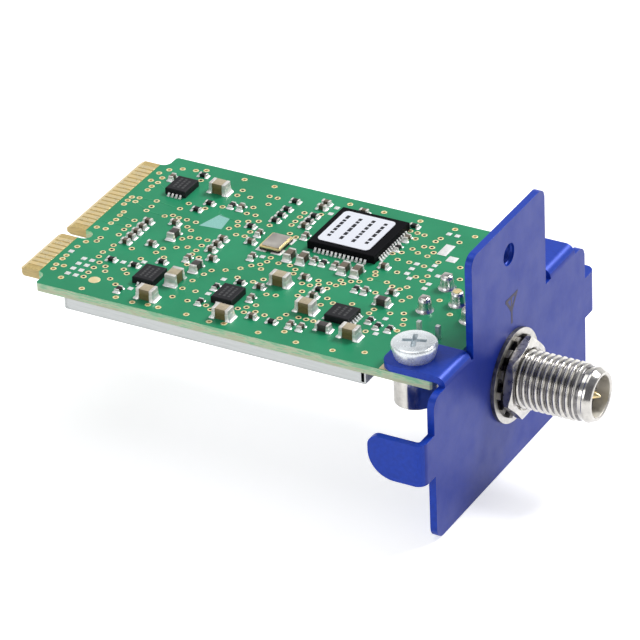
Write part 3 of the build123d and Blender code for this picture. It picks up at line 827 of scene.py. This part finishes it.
def plated(
    name, bright, dull, roughness, grain=metal_grain, edge=metal_edge, brushed=(1, 1, 1), metallic=1.0
):
    """A metal skin with a slight change of tone and shine over its surface."""
    shader = Shader(name, bright, metallic, roughness, edge=edge)
    pattern = shader.noise(grain, stretch=brushed)
    shader.colour(shader.two_tone(pattern, dull, bright))
    shader.roughness(shader.spread(pattern, low=0.7 * roughness, high=1.3 * roughness))
    shader.bump(pattern, metal_relief, strength=0.25)
    return shader.material


def washer_plating():
    """Nickel, bright on the front of the washer's outer ring; its teeth, rim side and back are painted
    near black, a painted shade and painted dark reflection.
    """
    shader = Shader("nickel_washer", nickel_warm, metallic=1.0, roughness=0.34, edge=metal_edge)
    from_axis = shader.vector("SUBTRACT", shader.place, (0.0, 0.0, jack_axis_z))["Vector"]
    across = shader.vector("MULTIPLY", from_axis, (0.0, 1.0, 1.0))["Vector"]
    radius = shader.vector("LENGTH", across)["Value"]
    # Only the front of the outer ring keeps the nickel tone; the rest takes the near black, a painted
    # shade and dark reflection
    outside = shader.calculate("GREATER_THAN", radius, washer_ring_radius)
    front = shader.calculate("GREATER_THAN", shader.facing("X"), 0.5)
    on_ring = shader.calculate("MINIMUM", outside, front)
    pattern = shader.noise(metal_grain)
    ring = shader.two_tone(pattern, shade(nickel_warm, 0.7), nickel_warm)
    teeth = shader.two_tone(pattern, washer_shade_dark, shade(washer_shade_dark, 2.0))
    shader.colour(shader.mix(on_ring, teeth, ring))
    shader.roughness(shader.spread(pattern, low=0.26, high=0.44))
    shader.bump(pattern, metal_relief, strength=0.25)
    return shader.material


def blue_coating():
    """Blue coat over brushed sheet, satin on the plate's front; its deep blue front and brighter other
    faces are painted shade and painted light.
    """
    shader = Shader("blue_coating", blue_front_shaded, 0.2, 0.38, specular=0.35, edge=0.06 * MM)
    # Faces toward +X take the deeper blue as painted shade, all others take the brighter blue as
    # painted light
    front = shader.calculate("GREATER_THAN", shader.facing("X"), 0.9)
    grain = shader.noise(0.5 * MM, detail=3.0, stretch=(1, 6, 1))
    face_tone = shader.two_tone(grain, shade(blue_front_shaded, 0.86), blue_front_shaded)
    side_tone = shader.two_tone(grain, shade(blue_sides_lit, 0.80), blue_sides_lit)
    shader.colour(shader.mix(front, side_tone, face_tone))
    cloud = shader.noise(2.5 * MM)
    satin = shader.spread(cloud, low=0.34, high=0.46)
    gloss = shader.spread(cloud, low=0.32, high=0.42)
    shader.roughness(shader.mix(front, gloss, satin))
    shader.bump(grain, metal_relief, strength=0.15)
    return shader.material


def moulded(name, tone, roughness=0.55, grain=resin_grain, specular=0.22):
    """Moulded resin with a fine grain."""
    shader = Shader(name, tone, roughness=roughness, specular=specular, edge=resin_edge)
    pattern = shader.noise(grain, detail=2.0)
    shader.colour(shader.two_tone(pattern, tone, lighter(tone, 1.5, 0.002), high=0.75))
    shader.roughness(shader.spread(pattern, low=0.8 * roughness, high=1.1 * roughness))
    shader.bump(pattern, resin_relief, strength=0.5)
    return shader.material


def ceramic(name, tone, side_tone, roughness=0.45):
    """Fired ceramic with a layered grain, pale on top; the darker tone on its sides is painted shade.
    """
    shader = Shader(name, tone, roughness=roughness, edge=metal_edge)
    layers = shader.noise(0.3 * MM, detail=3.0, stretch=(1, 1, 5))
    top = shader.two_tone(layers, shade(tone, 0.75), tone, low=0.25)
    side = shader.two_tone(layers, shade(side_tone, 0.6), side_tone, low=0.25)
    # Sides take the darker tone, a painted shade
    shader.colour(shader.mix(shader.upright(), side, top))
    shader.roughness(shader.spread(layers, low=0.8 * roughness, high=1.2 * roughness))
    shader.bump(layers, height=0.006 * MM, strength=0.4)
    return shader.material


def paper():
    shader = Shader("paper_label", paper_white, roughness=0.6, edge=0.02 * MM)
    fibre = shader.noise(0.2 * MM)
    shader.colour(shader.two_tone(fibre, shade(paper_white, 0.93), paper_white, low=0.2))
    shader.bump(fibre, height=0.004 * MM, strength=0.3)
    return shader.material


def printed(name, tone, roughness=0.6):
    """Thin ink, slightly broken up."""
    shader = Shader(name, tone, roughness=roughness, specular=0.15)
    speck = shader.noise(0.08 * MM, detail=2.0)
    shader.colour(shader.two_tone(speck, tone, lighter(tone, 1.35, 0.01), low=0.35, high=0.75))
    return shader.material


def make_materials():
    fine = fine_metal_grain
    return {
        "mask": solder_mask_board(),
        "gold": plated("gold_plating", gold_bright, gold_pale, 0.34, metallic=0.75),
        "ring_gold": plated(
            "ring_gold", ring_yellow, gold_bright, 0.40, edge=film_edge, metallic=0.5
        ),
        "tin": plated("tinned_copper", tin_bright, tin_dull, 0.34, fine, metallic=0.8),
        "cap_metal": plated(
            "cap_metal", end_metal, shade(end_metal, 0.8), 0.50, fine, metallic=0.5
        ),
        "pad": plated("bare_pad", tin_white, tin_bright, 0.45, fine, film_edge, metallic=0.45),
        "solder": plated("solder", tin_bright, tin_dull, 0.28, solder_grain),
        "fillet": plated("solder_fillet", tin_white, tin_bright, 0.42, solder_grain, metallic=0.7),
        "nickel": plated("nickel_plating", nickel_warm, shade(nickel_warm, 0.75), 0.18),
        "washer": washer_plating(),
        "bore": plated("nickel_bore_painted_light", bore_lit_grey, shade(bore_lit_grey, 0.85), 0.55),
        "painted_shade_nickel": plated("nickel_painted_shade", nickel_painted_dark, shade(nickel_painted_dark, 0.5), 0.3),
        "zinc": plated("zinc_plating", zinc_bright, shade(zinc_bright, 0.9), 0.26, metallic=0.5),
        "recess": plated("zinc_recess_shaded", zinc_recess_shade_tone, shade(zinc_recess_shade_tone, 0.7), 0.4, fine, metallic=0.4),
        "shield": plated(
            "shield_sheet", shield_grey, shade(shield_grey, 0.8), 0.40, sheet_grain,
            brushed=(0.2, 1, 4),
        ),
        "crystal_lid": plated("crystal_metal", lid_bright, lid_dull, 0.40, grain=1.5 * MM),
        "blue": blue_coating(),
        "mould": moulded("black_moulding", mould_black),
        "deep_mould": moulded("deep_moulding", mould_deep, specular=0.03),
        "plug": moulded("via_plug", plug_brown, 0.5),
        "hole": moulded("hole_painted_shade", hole_shade_black),
        "trace": moulded("trace_green", track_green, 0.36, grain=1.0 * MM),
        "crystal_base": moulded("crystal_ceramic", crystal_brown),
        "resistor": moulded("resistor_glaze", resistor_black, 0.3),
        "insulator": moulded("white_insulation", insulator_white, 0.5, grain=0.4 * MM),
        "paper": paper(),
        "ink": printed("label_ink", ink_black),
        "chip_ink": printed("chip_marking", ink_faint),
        "etch": printed("etched_mark", etch_brown, 0.5),
        "board_ink": printed("board_ink", mark_blue),
        "tan": ceramic("tan_ceramic", ceramic_tan, ceramic_tan_shaded_side),
        "olive": ceramic("olive_ceramic", ceramic_grey, ceramic_grey_shaded_side),
        "ferrite": ceramic("dark_ferrite", ferrite_dark, ferrite_dark),
    }


def paint_nodes(m):
    for finish, names in node_finishes.items():
        for name in names:
            nodes[name].data.materials.clear()
            nodes[name].data.materials.append(m[finish])


# Shield can


def close_can_corners(m):
    """Closes the two slits at the end of the can that faces the card edge."""
    can_low, can_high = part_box("shield_can")
    start = can_low.x + can_sheet
    bm = bmesh.new()
    for side in (-1, 1):
        near, far = sorted((side * (can_high.y - can_corner_inset), side * (can_high.y - can_sheet)))
        add_box(bm, (start, near, can_low.z + can_fold), (start + can_slit, far, can_high.z))
    finish_piece("can_corner_seams", bm, m["shield"])


# Chip parts: rounded bodies, dipped ends and solder fillets


def rounded_boxes(name, node, material, bevel):
    bm = bmesh.new()
    for low, high in islands(node):
        add_box(bm, low, high, bevel)
    finish_piece(name, bm, material, [node])


def rounded_outline(low, high, corner):
    """Points round a rectangle whose corners are arcs."""
    points = []
    centres = (
        (high[0] - corner, high[1] - corner), (low[0] + corner, high[1] - corner),
        (low[0] + corner, low[1] + corner), (high[0] - corner, low[1] + corner),
    )
    for quarter, (x, y) in enumerate(centres):
        for i in range(skirt_corner_points):
            angle = math.pi / 2 * (quarter + i / (skirt_corner_points - 1))
            points.append((x + corner * math.cos(angle), y + corner * math.sin(angle)))
    return points


def add_skirt(bm, end, outward):
    """A hollow slope of solder from its pad up three sides of a metal end."""
    low, high = end
    rise = (high.z - low.z) * skirt_rise
    length = abs((high - low).dot(outward))
    reach = min(max(length * skirt_reach_share, skirt_least_reach), skirt_most_reach)
    rows = []
    for row in range(skirt_rows + 1):
        t = row / skirt_rows
        slope = (1 - t) ** skirt_slope_power
        side = skirt_margin + skirt_side * slope
        out = skirt_margin + reach * slope
        left = [low.x - side, low.y - side]
        right = [high.x + side, high.y + side]
        for axis in (0, 1):
            if outward[axis] > 0:
                right[axis] = high[axis] + out
                left[axis] = low[axis]
            if outward[axis] < 0:
                left[axis] = low[axis] - out
                right[axis] = high[axis]
        narrowest = min(right[0] - left[0], right[1] - left[1])
        corner = skirt_side_corner * side + skirt_reach_corner * out
        outline = rounded_outline(left, right, min(corner, skirt_corner_limit * narrowest))
        if row == 0:
            rows.append([(x, y, 0.0) for x, y in outline])
        height = film + rise * t ** skirt_rise_power
        rows.append([(x, y, height) for x, y in outline])
    add_rows(bm, rows, capped=True)


def dress_chip_parts(m):
    fillets = bmesh.new()
    for family, finish, slot in chip_part_families:
        bodies = family + "_bodies"
        ends = family + "_ends"
        body_boxes = islands(bodies)
        for end in islands(ends):
            add_skirt(fillets, end, outward_from(end, body_boxes))
        rounded_boxes(bodies + "_dressed", bodies, m[finish], part_bevel / 2)
        rounded_boxes(ends + "_dressed", ends, m["cap_metal"], part_bevel)
    finish_piece("solder_fillets", fillets, m["fillet"])


# Leads of the chips


def add_gull_lead(bm, box, outward):
    """A lead that leaves the body, bends down and lies flat on the board."""
    size = box[1] - box[0]
    reach, width = (size.x, size.y) if outward.x else (size.y, size.x)
    side = Vector((-outward.y, outward.x, 0)) * width / 2
    centre = middle_of(box)
    start = Vector((centre.x, centre.y, 0)) - outward * reach / 2
    rows = []
    for pair in zip(lead_upper, lead_lower):
        row = []
        for (along, share, sheets), ways in zip(pair, ((-1, 1), (1, -1))):
            place = start + outward * reach * along
            place.z = size.z * share + lead_sheet * sheets
            row += [place + side * way for way in ways]
        rows.append(row)
    add_rows(bm, rows, capped=True)


def dress_leads(m):
    """Bent leads for every chip, each on a pad of solder."""
    pads = bmesh.new()
    margin = Vector((lead_pad_margin, lead_pad_margin, 0))
    for node, chips in lead_owners.items():
        bodies = [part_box(chip) for chip in chips]
        bm = bmesh.new()
        for box in islands(node):
            outward = outward_from(box, bodies)
            add_gull_lead(bm, box, outward)
            low = Vector((box[0].x, box[0].y, 0)) - margin + outward * lead_pad_start
            high = Vector((box[1].x, box[1].y, film)) + margin + outward * lead_pad_end
            add_box(pads, low, high)
        finish_piece(node + "_bent", bm, m["pad"], [node])
    finish_piece("lead_pads", pads, m["fillet"])


# Screws and solder joints


def cross_cutter(material):
    """A tapered cross, used to cut the driver recess."""
    bm = bmesh.new()
    for turn in (0, math.pi / 2):
        rows = []
        for scale, z in ((1.0, recess_lift), (recess_taper, -recess_depth)):
            length = recess_span / 2 * scale
            width = recess_width / 2 * (1 + scale) / 2
            ways = ((-1, -1), (1, -1), (1, 1), (-1, 1))
            corners = [Vector((i * length, j * width, z)) for i, j in ways]
            rows.append([Matrix.Rotation(turn, 3, "Z") @ corner for corner in corners])
        add_rows(bm, rows, capped=True)
    bmesh.ops.recalc_face_normals(bm, faces=bm.faces)
    return make_object("recess_cutter", bm, material)


def cut_away(piece, cutter):
    """Cuts one mesh out of another and removes the cutter."""
    modifier = piece.modifiers.new("cut", "BOOLEAN")
    modifier.operation = "DIFFERENCE"
    modifier.solver = "EXACT"
    modifier.material_mode = "TRANSFER"
    modifier.use_self = True
    modifier.object = cutter
    bpy.context.view_layer.update()
    graph = bpy.context.evaluated_depsgraph_get()
    mesh = bpy.data.meshes.new_from_object(piece.evaluated_get(graph))
    bm = bmesh.new()
    bm.from_mesh(mesh)
    bmesh.ops.dissolve_degenerate(bm, edges=bm.edges[:], dist=weld_distance)
    bm.to_mesh(mesh)
    bm.free()
    piece.modifiers.clear()
    piece.data = mesh
    bpy.data.objects.remove(cutter)


def dress_screws(m):
    """Pan heads with a domed top, a flared rim and a cross recess."""
    names = ("ear_screw_near", "ear_screw_far")
    for name, replaced, (low, high) in zip(names, (["ear_screws"], []), islands("ear_screws")):
        centre = middle_of((low, high))
        radius = (high.x - low.x) / 2
        profile = [(0.0, low.z), (screw_shank, low.z), (screw_shank, bracket_sheet)]
        profile += scaled(screw_head, radius, bracket_sheet, high.z - bracket_sheet)
        bm = bmesh.new()
        profile = [(max(r, screw_tip), z) for r, z in profile]
        add_ring(bm, centre, profile, screw_sides, capped=True)
        piece = finish_piece(name, bm, m["zinc"], replaced, smooth_angle=30.0)
        # The cut gives the recess walls the cutter's darker zinc, a painted shade
        cutter = cross_cutter(m["recess"])
        place = Matrix.Translation((centre.x, centre.y, high.z))
        cutter.matrix_world = place @ Matrix.Rotation(recess_turn, 4, "Z")
        cut_away(piece, cutter)


def dress_solder_joints(m):
    """Cones of solder with hollow flanks and a rounded shoulder round each leg."""
    bm = bmesh.new()
    for low, high in islands("solder_joints"):
        profile = scaled(solder_joint, (high.x - low.x) / 2, 0.0, high.z)
        add_ring(bm, middle_of((low, high)), profile, joint_sides, capped=True)
    finish_piece(
        "solder_joints_dressed", bm, m["solder"], ["solder_joints"], smooth_angle=60.0
    )


# Jack and its nut


def from_jack_axis(face):
    return math.hypot(face.center.y, face.center.z - jack_axis_z)


def crisp(stations):
    """Adds a point close to either side of each corner, so that the faces between shade flat."""
    result = [stations[0]]
    for before, here, after in zip(stations, stations[1:], stations[2:]):
        for other in (before, after):
            way = Vector(other) - Vector(here)
            step = min(crisp_inset, way.length / 3)
            result.append(tuple(Vector(here) + way.normalized() * step))
        result.insert(-1, here)
    result.append(stations[-1])
    return result


def thread_height(step):
    """Height above the root, 0 to 1, at one of the steps along a pitch; crest and root are blunt."""
    wave = 1 - abs(2 * step / thread_steps - 1)
    return min(max((wave - thread_blunt) / (1 - 2 * thread_blunt), 0.0), 1.0)


def add_thread(bm, start, end):
    """A ridge wound round the jack's axis: each row of points follows the winding."""
    rows = int((end - start) / thread_pitch * thread_steps) + thread_steps
    points = {}
    for row in range(rows + thread_steps + 1):
        for i in range(thread_sides):
            x = start + (row / thread_steps - 1 + i / thread_sides) * thread_pitch
            x = min(max(x, start), end)
            fade = min(1.0, (end - x) / thread_pitch + thread_last)
            height = thread_height(row % thread_steps) * fade
            radius = thread_radius - thread_depth * (1 - height)
            angle = 2 * math.pi * i / thread_sides
            place = (x, radius * math.cos(angle), jack_axis_z + radius * math.sin(angle))
            points[row, i] = bm.verts.new(place)
        points[row - thread_steps, thread_sides] = points[row, 0]
    for row in range(rows):
        for i in range(thread_sides):
            corners = (points[row, i], points[row, i + 1], points[row + 1, i + 1], points[row + 1, i])
            if max(v.co.x for v in corners) - min(v.co.x for v in corners) > 0:
                bm.faces.new(corners)


def shell_stations(plate_back, thread_end, mouth):
    """The shell's side view from the block to the mouth and back down the bore."""
    thread_root = thread_radius - thread_depth - film

    def from_plane(plane, pairs):
        return [(plane + x * MM, radius * MM) for x, radius in pairs]

    return [
        *from_plane(block_front, shell_from_block),
        *from_plane(plate_back, shell_from_plate),
        (plate_back - thread_seam, thread_root),
        (thread_end, thread_root),
        *from_plane(thread_end, shell_from_thread),
        *from_plane(mouth, shell_from_mouth),
    ]


def add_block_and_legs(bm, low, high):
    """The jack's block behind the plate, with a square leg up through the board at each corner."""
    add_box(
        bm, (low.x, -block_half_width, low.z), (block_front, block_half_width, block_top),
        block_bevel, segments=3,
    )
    middle = (low.x + block_front) / 2
    for i in (-1, 1):
        for j in (-1, 1):
            x = middle + i * leg_spacing
            y = j * leg_spacing
            start = (x - leg_half_side, y - leg_half_side, leg_root)
            add_box(bm, start, (x + leg_half_side, y + leg_half_side, high.z), leg_bevel)


def dress_jack(m):
    """The whole metal shell: block, legs, flange and threaded barrel with a bored mouth."""
    low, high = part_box("jack_shell")
    plate_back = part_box("bracket")[1].x - bracket_sheet
    thread_end = high.x - nose_length
    bm = bmesh.new()
    stations = shell_stations(plate_back, thread_end, high.x)
    add_turned(bm, crisp(stations), 0.0, jack_axis_z, thread_sides)
    add_thread(bm, plate_back, thread_end)
    close_holes(bm)
    add_block_and_legs(bm, low, high)
    shell = finish_piece(
        "jack_shell_threaded", bm, m["nickel"], ["jack_shell"], smooth_angle=62.0
    )
    # Faces deep in the thread's grooves take the darker nickel, a painted shade
    groove_radius = thread_radius - groove_share * thread_depth

    def in_groove(face):
        return plate_back < face.center.x < thread_end and from_jack_axis(face) < groove_radius

    # Faces in the bore take the lighter nickel, a painted light
    def in_bore(face):
        return face.center.x > thread_end and from_jack_axis(face) < bore_radius * MM + film

    paint_where(shell, m["painted_shade_nickel"], in_groove)
    paint_where(shell, m["bore"], in_bore)


def nut_rim(angle):
    """Distance from the axis to the nut's flat sides at one angle."""
    sixth = math.pi / 3
    from_middle = (angle - nut_turn) % sixth - sixth / 2
    return nut_flats / 2 / math.cos(from_middle)


def dress_nut(m):
    """The hexagon nut, with the corners turned off at both faces."""
    low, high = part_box("hex_nut")
    face_radius = nut_flats / 2 * nut_face_share
    bore = thread_radius + nut_clearance
    columns = []
    for i in range(nut_columns):
        angle = 2 * math.pi * i / nut_columns
        rim = nut_rim(angle)
        drop = (rim - face_radius) * nut_chamfer_slope
        section = [
            (low.x, bore), (low.x, face_radius), (low.x + drop, rim), (high.x - drop, rim),
            (high.x, face_radius), (high.x, bore + nut_countersink), (high.x - nut_countersink, bore),
        ]
        columns.append(
            [(x, r * math.cos(angle), jack_axis_z + r * math.sin(angle)) for x, r in section]
        )
    bm = bmesh.new()
    add_rows(bm, columns, closed=True)
    nut = finish_piece(
        "hex_nut_turned_off", bm, m["nickel"], ["hex_nut"], smooth_angle=15.0
    )

    # The nut's flats take the same darker nickel, a painted dark reflection
    def on_flat(face):
        return abs(face.normal.x) < 0.1 and from_jack_axis(face) > face_radius

    paint_where(nut, m["painted_shade_nickel"], on_flat)


def dress_collar(m):
    """Ridges of the tapped hole in the crown."""
    plate_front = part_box("bracket")[1].x
    crest = collar_bore - collar_thread_depth
    radii = (collar_bore + film, crest, crest, collar_bore + film)
    bm = bmesh.new()
    for turn in range(collar_turns):
        x = plate_front - collar_thread_start - turn * collar_pitch
        stations = [(x - share * collar_pitch, r) for share, r in zip(collar_ridge, radii)]
        add_turned(bm, stations, *crown_hole, collar_sides, closed=True)
    finish_piece("collar_thread", bm, m["blue"], smooth_angle=round_angle)


# What lies flat on the board


def lay_vias(m):
    """Plated rings, slightly domed so that they catch light; a filled via holds a plug, an open one a
    black disc in its hole, a painted shade.
    """
    filled = near_edge_vias + far_edge_vias + finger_vias
    open_ones = near_left_vias + near_right_vias + middle_left_vias + far_left_vias
    open_ones += middle_vias + far_right_vias
    rings = bmesh.new()
    shade_discs = bmesh.new()
    plugs = bmesh.new()
    profile = scaled(via_ring, via_radius, 0.0, film)
    disc = [(via_hole_radius, -film / 2), (via_hole_radius, film / 2)]
    for group, discs in ((open_ones, shade_discs), (filled, plugs)):
        for centre in on_board(group):
            add_ring(rings, centre, profile, via_sides, closed=True)
            add_ring(discs, centre, disc, via_sides, capped=True)
    finish_piece("via_rings", rings, m["ring_gold"], smooth_angle=round_angle)
    finish_piece("via_hole_shade", shade_discs, m["hole"])
    finish_piece("via_plugs", plugs, m["plug"])


def pad_grid():
    """Places of the square block of test pads."""
    columns, rows = pad_grid_counts
    return [
        (pad_grid_start[0] + i * pad_grid_steps[0], pad_grid_start[1] + j * pad_grid_steps[1])
        for i in range(columns) for j in range(rows)
    ]


def corner_spans(low, high):
    """Where the crystal's two pads along one side of it start and end."""
    return (low - crystal_pad_reach, low + crystal_pad), (high - crystal_pad, high + crystal_pad_reach)


def lay_pads(m):
    """Bare pads: single ones, a grid of test pads, two large ones and the crystal's four."""
    bm = bmesh.new()
    spans = []
    for x, y in on_board(bare_pads + pad_grid()):
        spans.append(((x - pad_side / 2, x + pad_side / 2), (y - pad_side / 2, y + pad_side / 2)))
    for place, (length, width) in large_pads:
        x, y = on_board([place])[0]
        reach = length * MM / 2
        half = width * MM / 2
        spans.append(((x - reach, x + reach), (y - half, y + half)))
    low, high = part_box("crystal_base")
    for along in corner_spans(low.x, high.x):
        for across in corner_spans(low.y, high.y):
            spans.append((along, across))
    for (x_low, x_high), (y_low, y_high) in spans:
        add_box(
            bm, (x_low, y_low, 0.0), (x_high, y_high, pad_height), pad_bevel, lift_bottom=True
        )
    finish_piece("bare_pads", bm, m["pad"])


def lay_alignment_mark(m):
    bm = bmesh.new()
    profile = scaled(alignment_profile, alignment_radius, 0.0, film)
    add_ring(bm, on_board([alignment_place])[0], profile, mark_sides, capped=True)
    finish_piece("alignment_mark", bm, m["ring_gold"])


def lay_ear_lands(m):
    """Copper under the bracket's ears, of which a narrow gold border shows."""
    bm = bmesh.new()
    for side in (-1, 1):
        near, far = sorted((side * land_outer, side * land_inner))
        add_box(bm, (land_start, near, 0.0), (land_end, far, film))
    finish_piece("ear_lands", bm, m["ring_gold"])


def lay_tracks(m):
    """Covered tracks that show as faint ridges under the mask."""
    bm = bmesh.new()
    lift = Vector((0, 0, film * track_rise))
    for line in tracks:
        points = [Vector((x, y, 0)) for x, y in on_board(line)]
        for a, b in zip(points, points[1:]):
            along = (b - a).normalized()
            side = Vector((-along.y, along.x, 0)) * track_width / 2
            base = [a - side, b - side, b + side, a + side]
            top = [p.lerp(q, track_flank) + lift for p, q in zip(base, reversed(base))]
            add_rows(bm, [base, top], capped=True)
    finish_piece("covered_tracks", bm, m["trace"])


# Prints and marks


def add_bar(bm, low, high, height):
    """A flat printed bar between two corners."""
    corners = (low, (high[0], low[1]), high, (low[0], high[1]))
    add_slab(bm, corners, height - film, height)


def print_label(m):
    """Short dark bars in columns, as a stand-in for the label's print."""
    low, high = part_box("chip_label")
    height = high.z + print_lift
    bm = bmesh.new()
    column_step = (high.x - low.x - 2 * label_margin) / (label_columns - 1)
    half = label_bar_width / 2
    for column in range(label_columns):
        x = low.x + label_margin + column * column_step
        y = low.y + label_margin + random.uniform(*label_first_gap) * MM
        while y < high.y - label_margin:
            length = random.uniform(*label_bar_range) * MM
            end = min(y + length, high.y - label_margin * label_end_share)
            add_bar(bm, (x - half, y), (x + half, end), height)
            y = end + label_bar_gap * random.uniform(*label_bar_range)
    finish_piece("label_bars", bm, m["ink"])


def print_chips(m):
    """Faint bars on the small chips, where real ones are marked."""
    bm = bmesh.new()
    for node in ("memory_chip", "front_regulator", "rear_regulator", "antenna_switch"):
        low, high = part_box(node)
        height = high.z + print_lift / 2
        step = (high.x - low.x) / (chip_bar_rows + chip_bar_spare_rows)
        for row in range(chip_bar_rows):
            x = low.x + step * (row + chip_bar_first_row)
            y = low.y + chip_bar_start
            while y < high.y - chip_bar_last:
                length = random.uniform(*chip_bar_range) * MM
                end = min(y + length, high.y - chip_bar_end)
                add_bar(bm, (x, y), (x + chip_bar_width, end), height)
                y = end + chip_bar_gap
    finish_piece("chip_bars", bm, m["chip_ink"])


def print_board_mark(m):
    """A plain pale four-sided mark in the open field of the board."""
    bm = bmesh.new()
    add_slab(bm, on_board(board_mark), -film / 2, film / 2)
    finish_piece("board_mark", bm, m["board_ink"])


def etch_antenna_symbol(m):
    """An antenna sign on the plate's face above the jack: a mast under an open triangle."""
    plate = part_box("bracket")[1].x + symbol_lift
    half = symbol_height / 2
    y, z = symbol_centre
    joint = (y, z + symbol_joint * half)
    left = (y - symbol_spread * half, z + half)
    right = (y + symbol_spread * half, z + half)
    strokes = [((y, z - half), (y, z + half)), (joint, left), (joint, right), (left, right)]
    bm = bmesh.new()
    for number, (a, b) in enumerate(strokes):
        front_x = plate + number * symbol_layer
        a = Vector((front_x, *a))
        b = Vector((front_x, *b))
        cap = (b - a).normalized() * symbol_stroke / 2
        side = Vector((0, -cap.z, cap.y))
        front = (a - side - cap, b - side + cap, b + side + cap, a + side - cap)
        back = [p - Vector((symbol_depth, 0, 0)) for p in front]
        add_rows(bm, [front, back], capped=True)
    finish_piece("antenna_symbol", bm, m["etch"])


# Stage: camera, lights and floor


def build_camera():
    camera = bpy.data.cameras.new("camera")
    camera.lens = camera_lens
    camera.sensor_width = camera_sensor
    camera.clip_start = camera_nearest
    camera.clip_end = camera_farthest
    holder = link("camera", camera)
    aim = (camera_target - camera_place).to_track_quat("-Z", "Y").to_matrix().to_4x4()
    roll = Matrix.Rotation(camera_roll, 4, "Z")
    holder.matrix_world = Matrix.Translation(camera_place) @ aim @ roll
    bpy.context.scene.camera = holder


def floor_paper():
    """Pale paper that shows white to the eye and is clear from below."""
    shader = Shader("floor_paper", floor_tone, roughness=0.9)
    speck = shader.noise(floor_grain)
    shader.colour(shader.two_tone(speck, shade(floor_tone, 0.985), floor_tone))
    glow = shader.calculate("MULTIPLY", shader.shown_directly(), floor_glow)
    shader.surface.inputs["Emission Color"].default_value = (*white, 1)
    shader.join(glow, shader.surface.inputs["Emission Strength"])
    clear = shader.new("ShaderNodeBsdfTransparent")
    sheet = shader.new("ShaderNodeMixShader")
    under = shader.new("ShaderNodeNewGeometry").outputs["Backfacing"]
    shader.join(under, sheet.inputs["Fac"])
    shader.join(shader.surface.outputs["BSDF"], sheet.inputs[1])
    shader.join(clear.outputs["BSDF"], sheet.inputs[2])
    shader.join(sheet.outputs["Shader"], shader.nodes["Material Output"].inputs["Surface"])
    return shader.material


def build_floor():
    bm = bmesh.new()
    height = cad_box[0][2] - floor_gap
    half = floor_size / 2
    corners = ((-half, -half), (half, -half), (half, half), (-half, half))
    bm.faces.new([bm.verts.new((x, y, height)) for x, y in corners])
    floor = make_object("floor", bm, floor_paper())


def build_lights():
    for name, place, size, power in lights:
        light = bpy.data.lights.new(name, "AREA")
        light.shape = "DISK"
        light.size = size
        light.energy = power
        holder = link(name, light)
        holder.location = place
        holder.rotation_euler = (-Vector(place)).to_track_quat("-Z", "Y").to_euler()


def build_world():
    """White to the eye, a soft grey dome for light, and a darker ceiling in reflections."""
    world = bpy.data.worlds.new("studio")
    bpy.context.scene.world = world
    world.use_nodes = True
    graph = Graph(world.node_tree)
    background = graph.nodes["Background"]
    way = graph.new("ShaderNodeTexCoord").outputs["Generated"]
    stops = [(ceiling_start, white), (ceiling_full, ceiling_tone)]
    dome = graph.ramp(graph.split(way)["Z"], stops)
    to_camera = (camera_place - camera_target).normalized()
    toward = graph.vector("DOT_PRODUCT", way, to_camera)["Value"]
    patch = graph.rescale(toward, camera_side_range, (0.0, 1.0))
    shaded = graph.mix(patch, dome, camera_side_tone)
    seen = graph.new("ShaderNodeLightPath").outputs["Is Camera Ray"]
    graph.join(graph.mix(seen, shaded, white), background.inputs["Color"])
    strength = graph.rescale(graph.shown_directly(), (0.0, 1.0), (world_light, 1.0))
    graph.join(strength, background.inputs["Strength"])


def build_stage():
    build_camera()
    build_floor()
    build_lights()
    build_world()
    bpy.context.scene.view_settings.view_transform = "Standard"


def main():
    m = make_materials()
    paint_nodes(m)
    close_can_corners(m)
    dress_chip_parts(m)
    dress_leads(m)
    dress_screws(m)
    dress_solder_joints(m)
    dress_jack(m)
    dress_nut(m)
    dress_collar(m)
    lay_vias(m)
    lay_pads(m)
    lay_alignment_mark(m)
    lay_ear_lands(m)
    lay_tracks(m)
    print_label(m)
    print_chips(m)
    print_board_mark(m)
    etch_antenna_symbol(m)
    build_stage()


main()
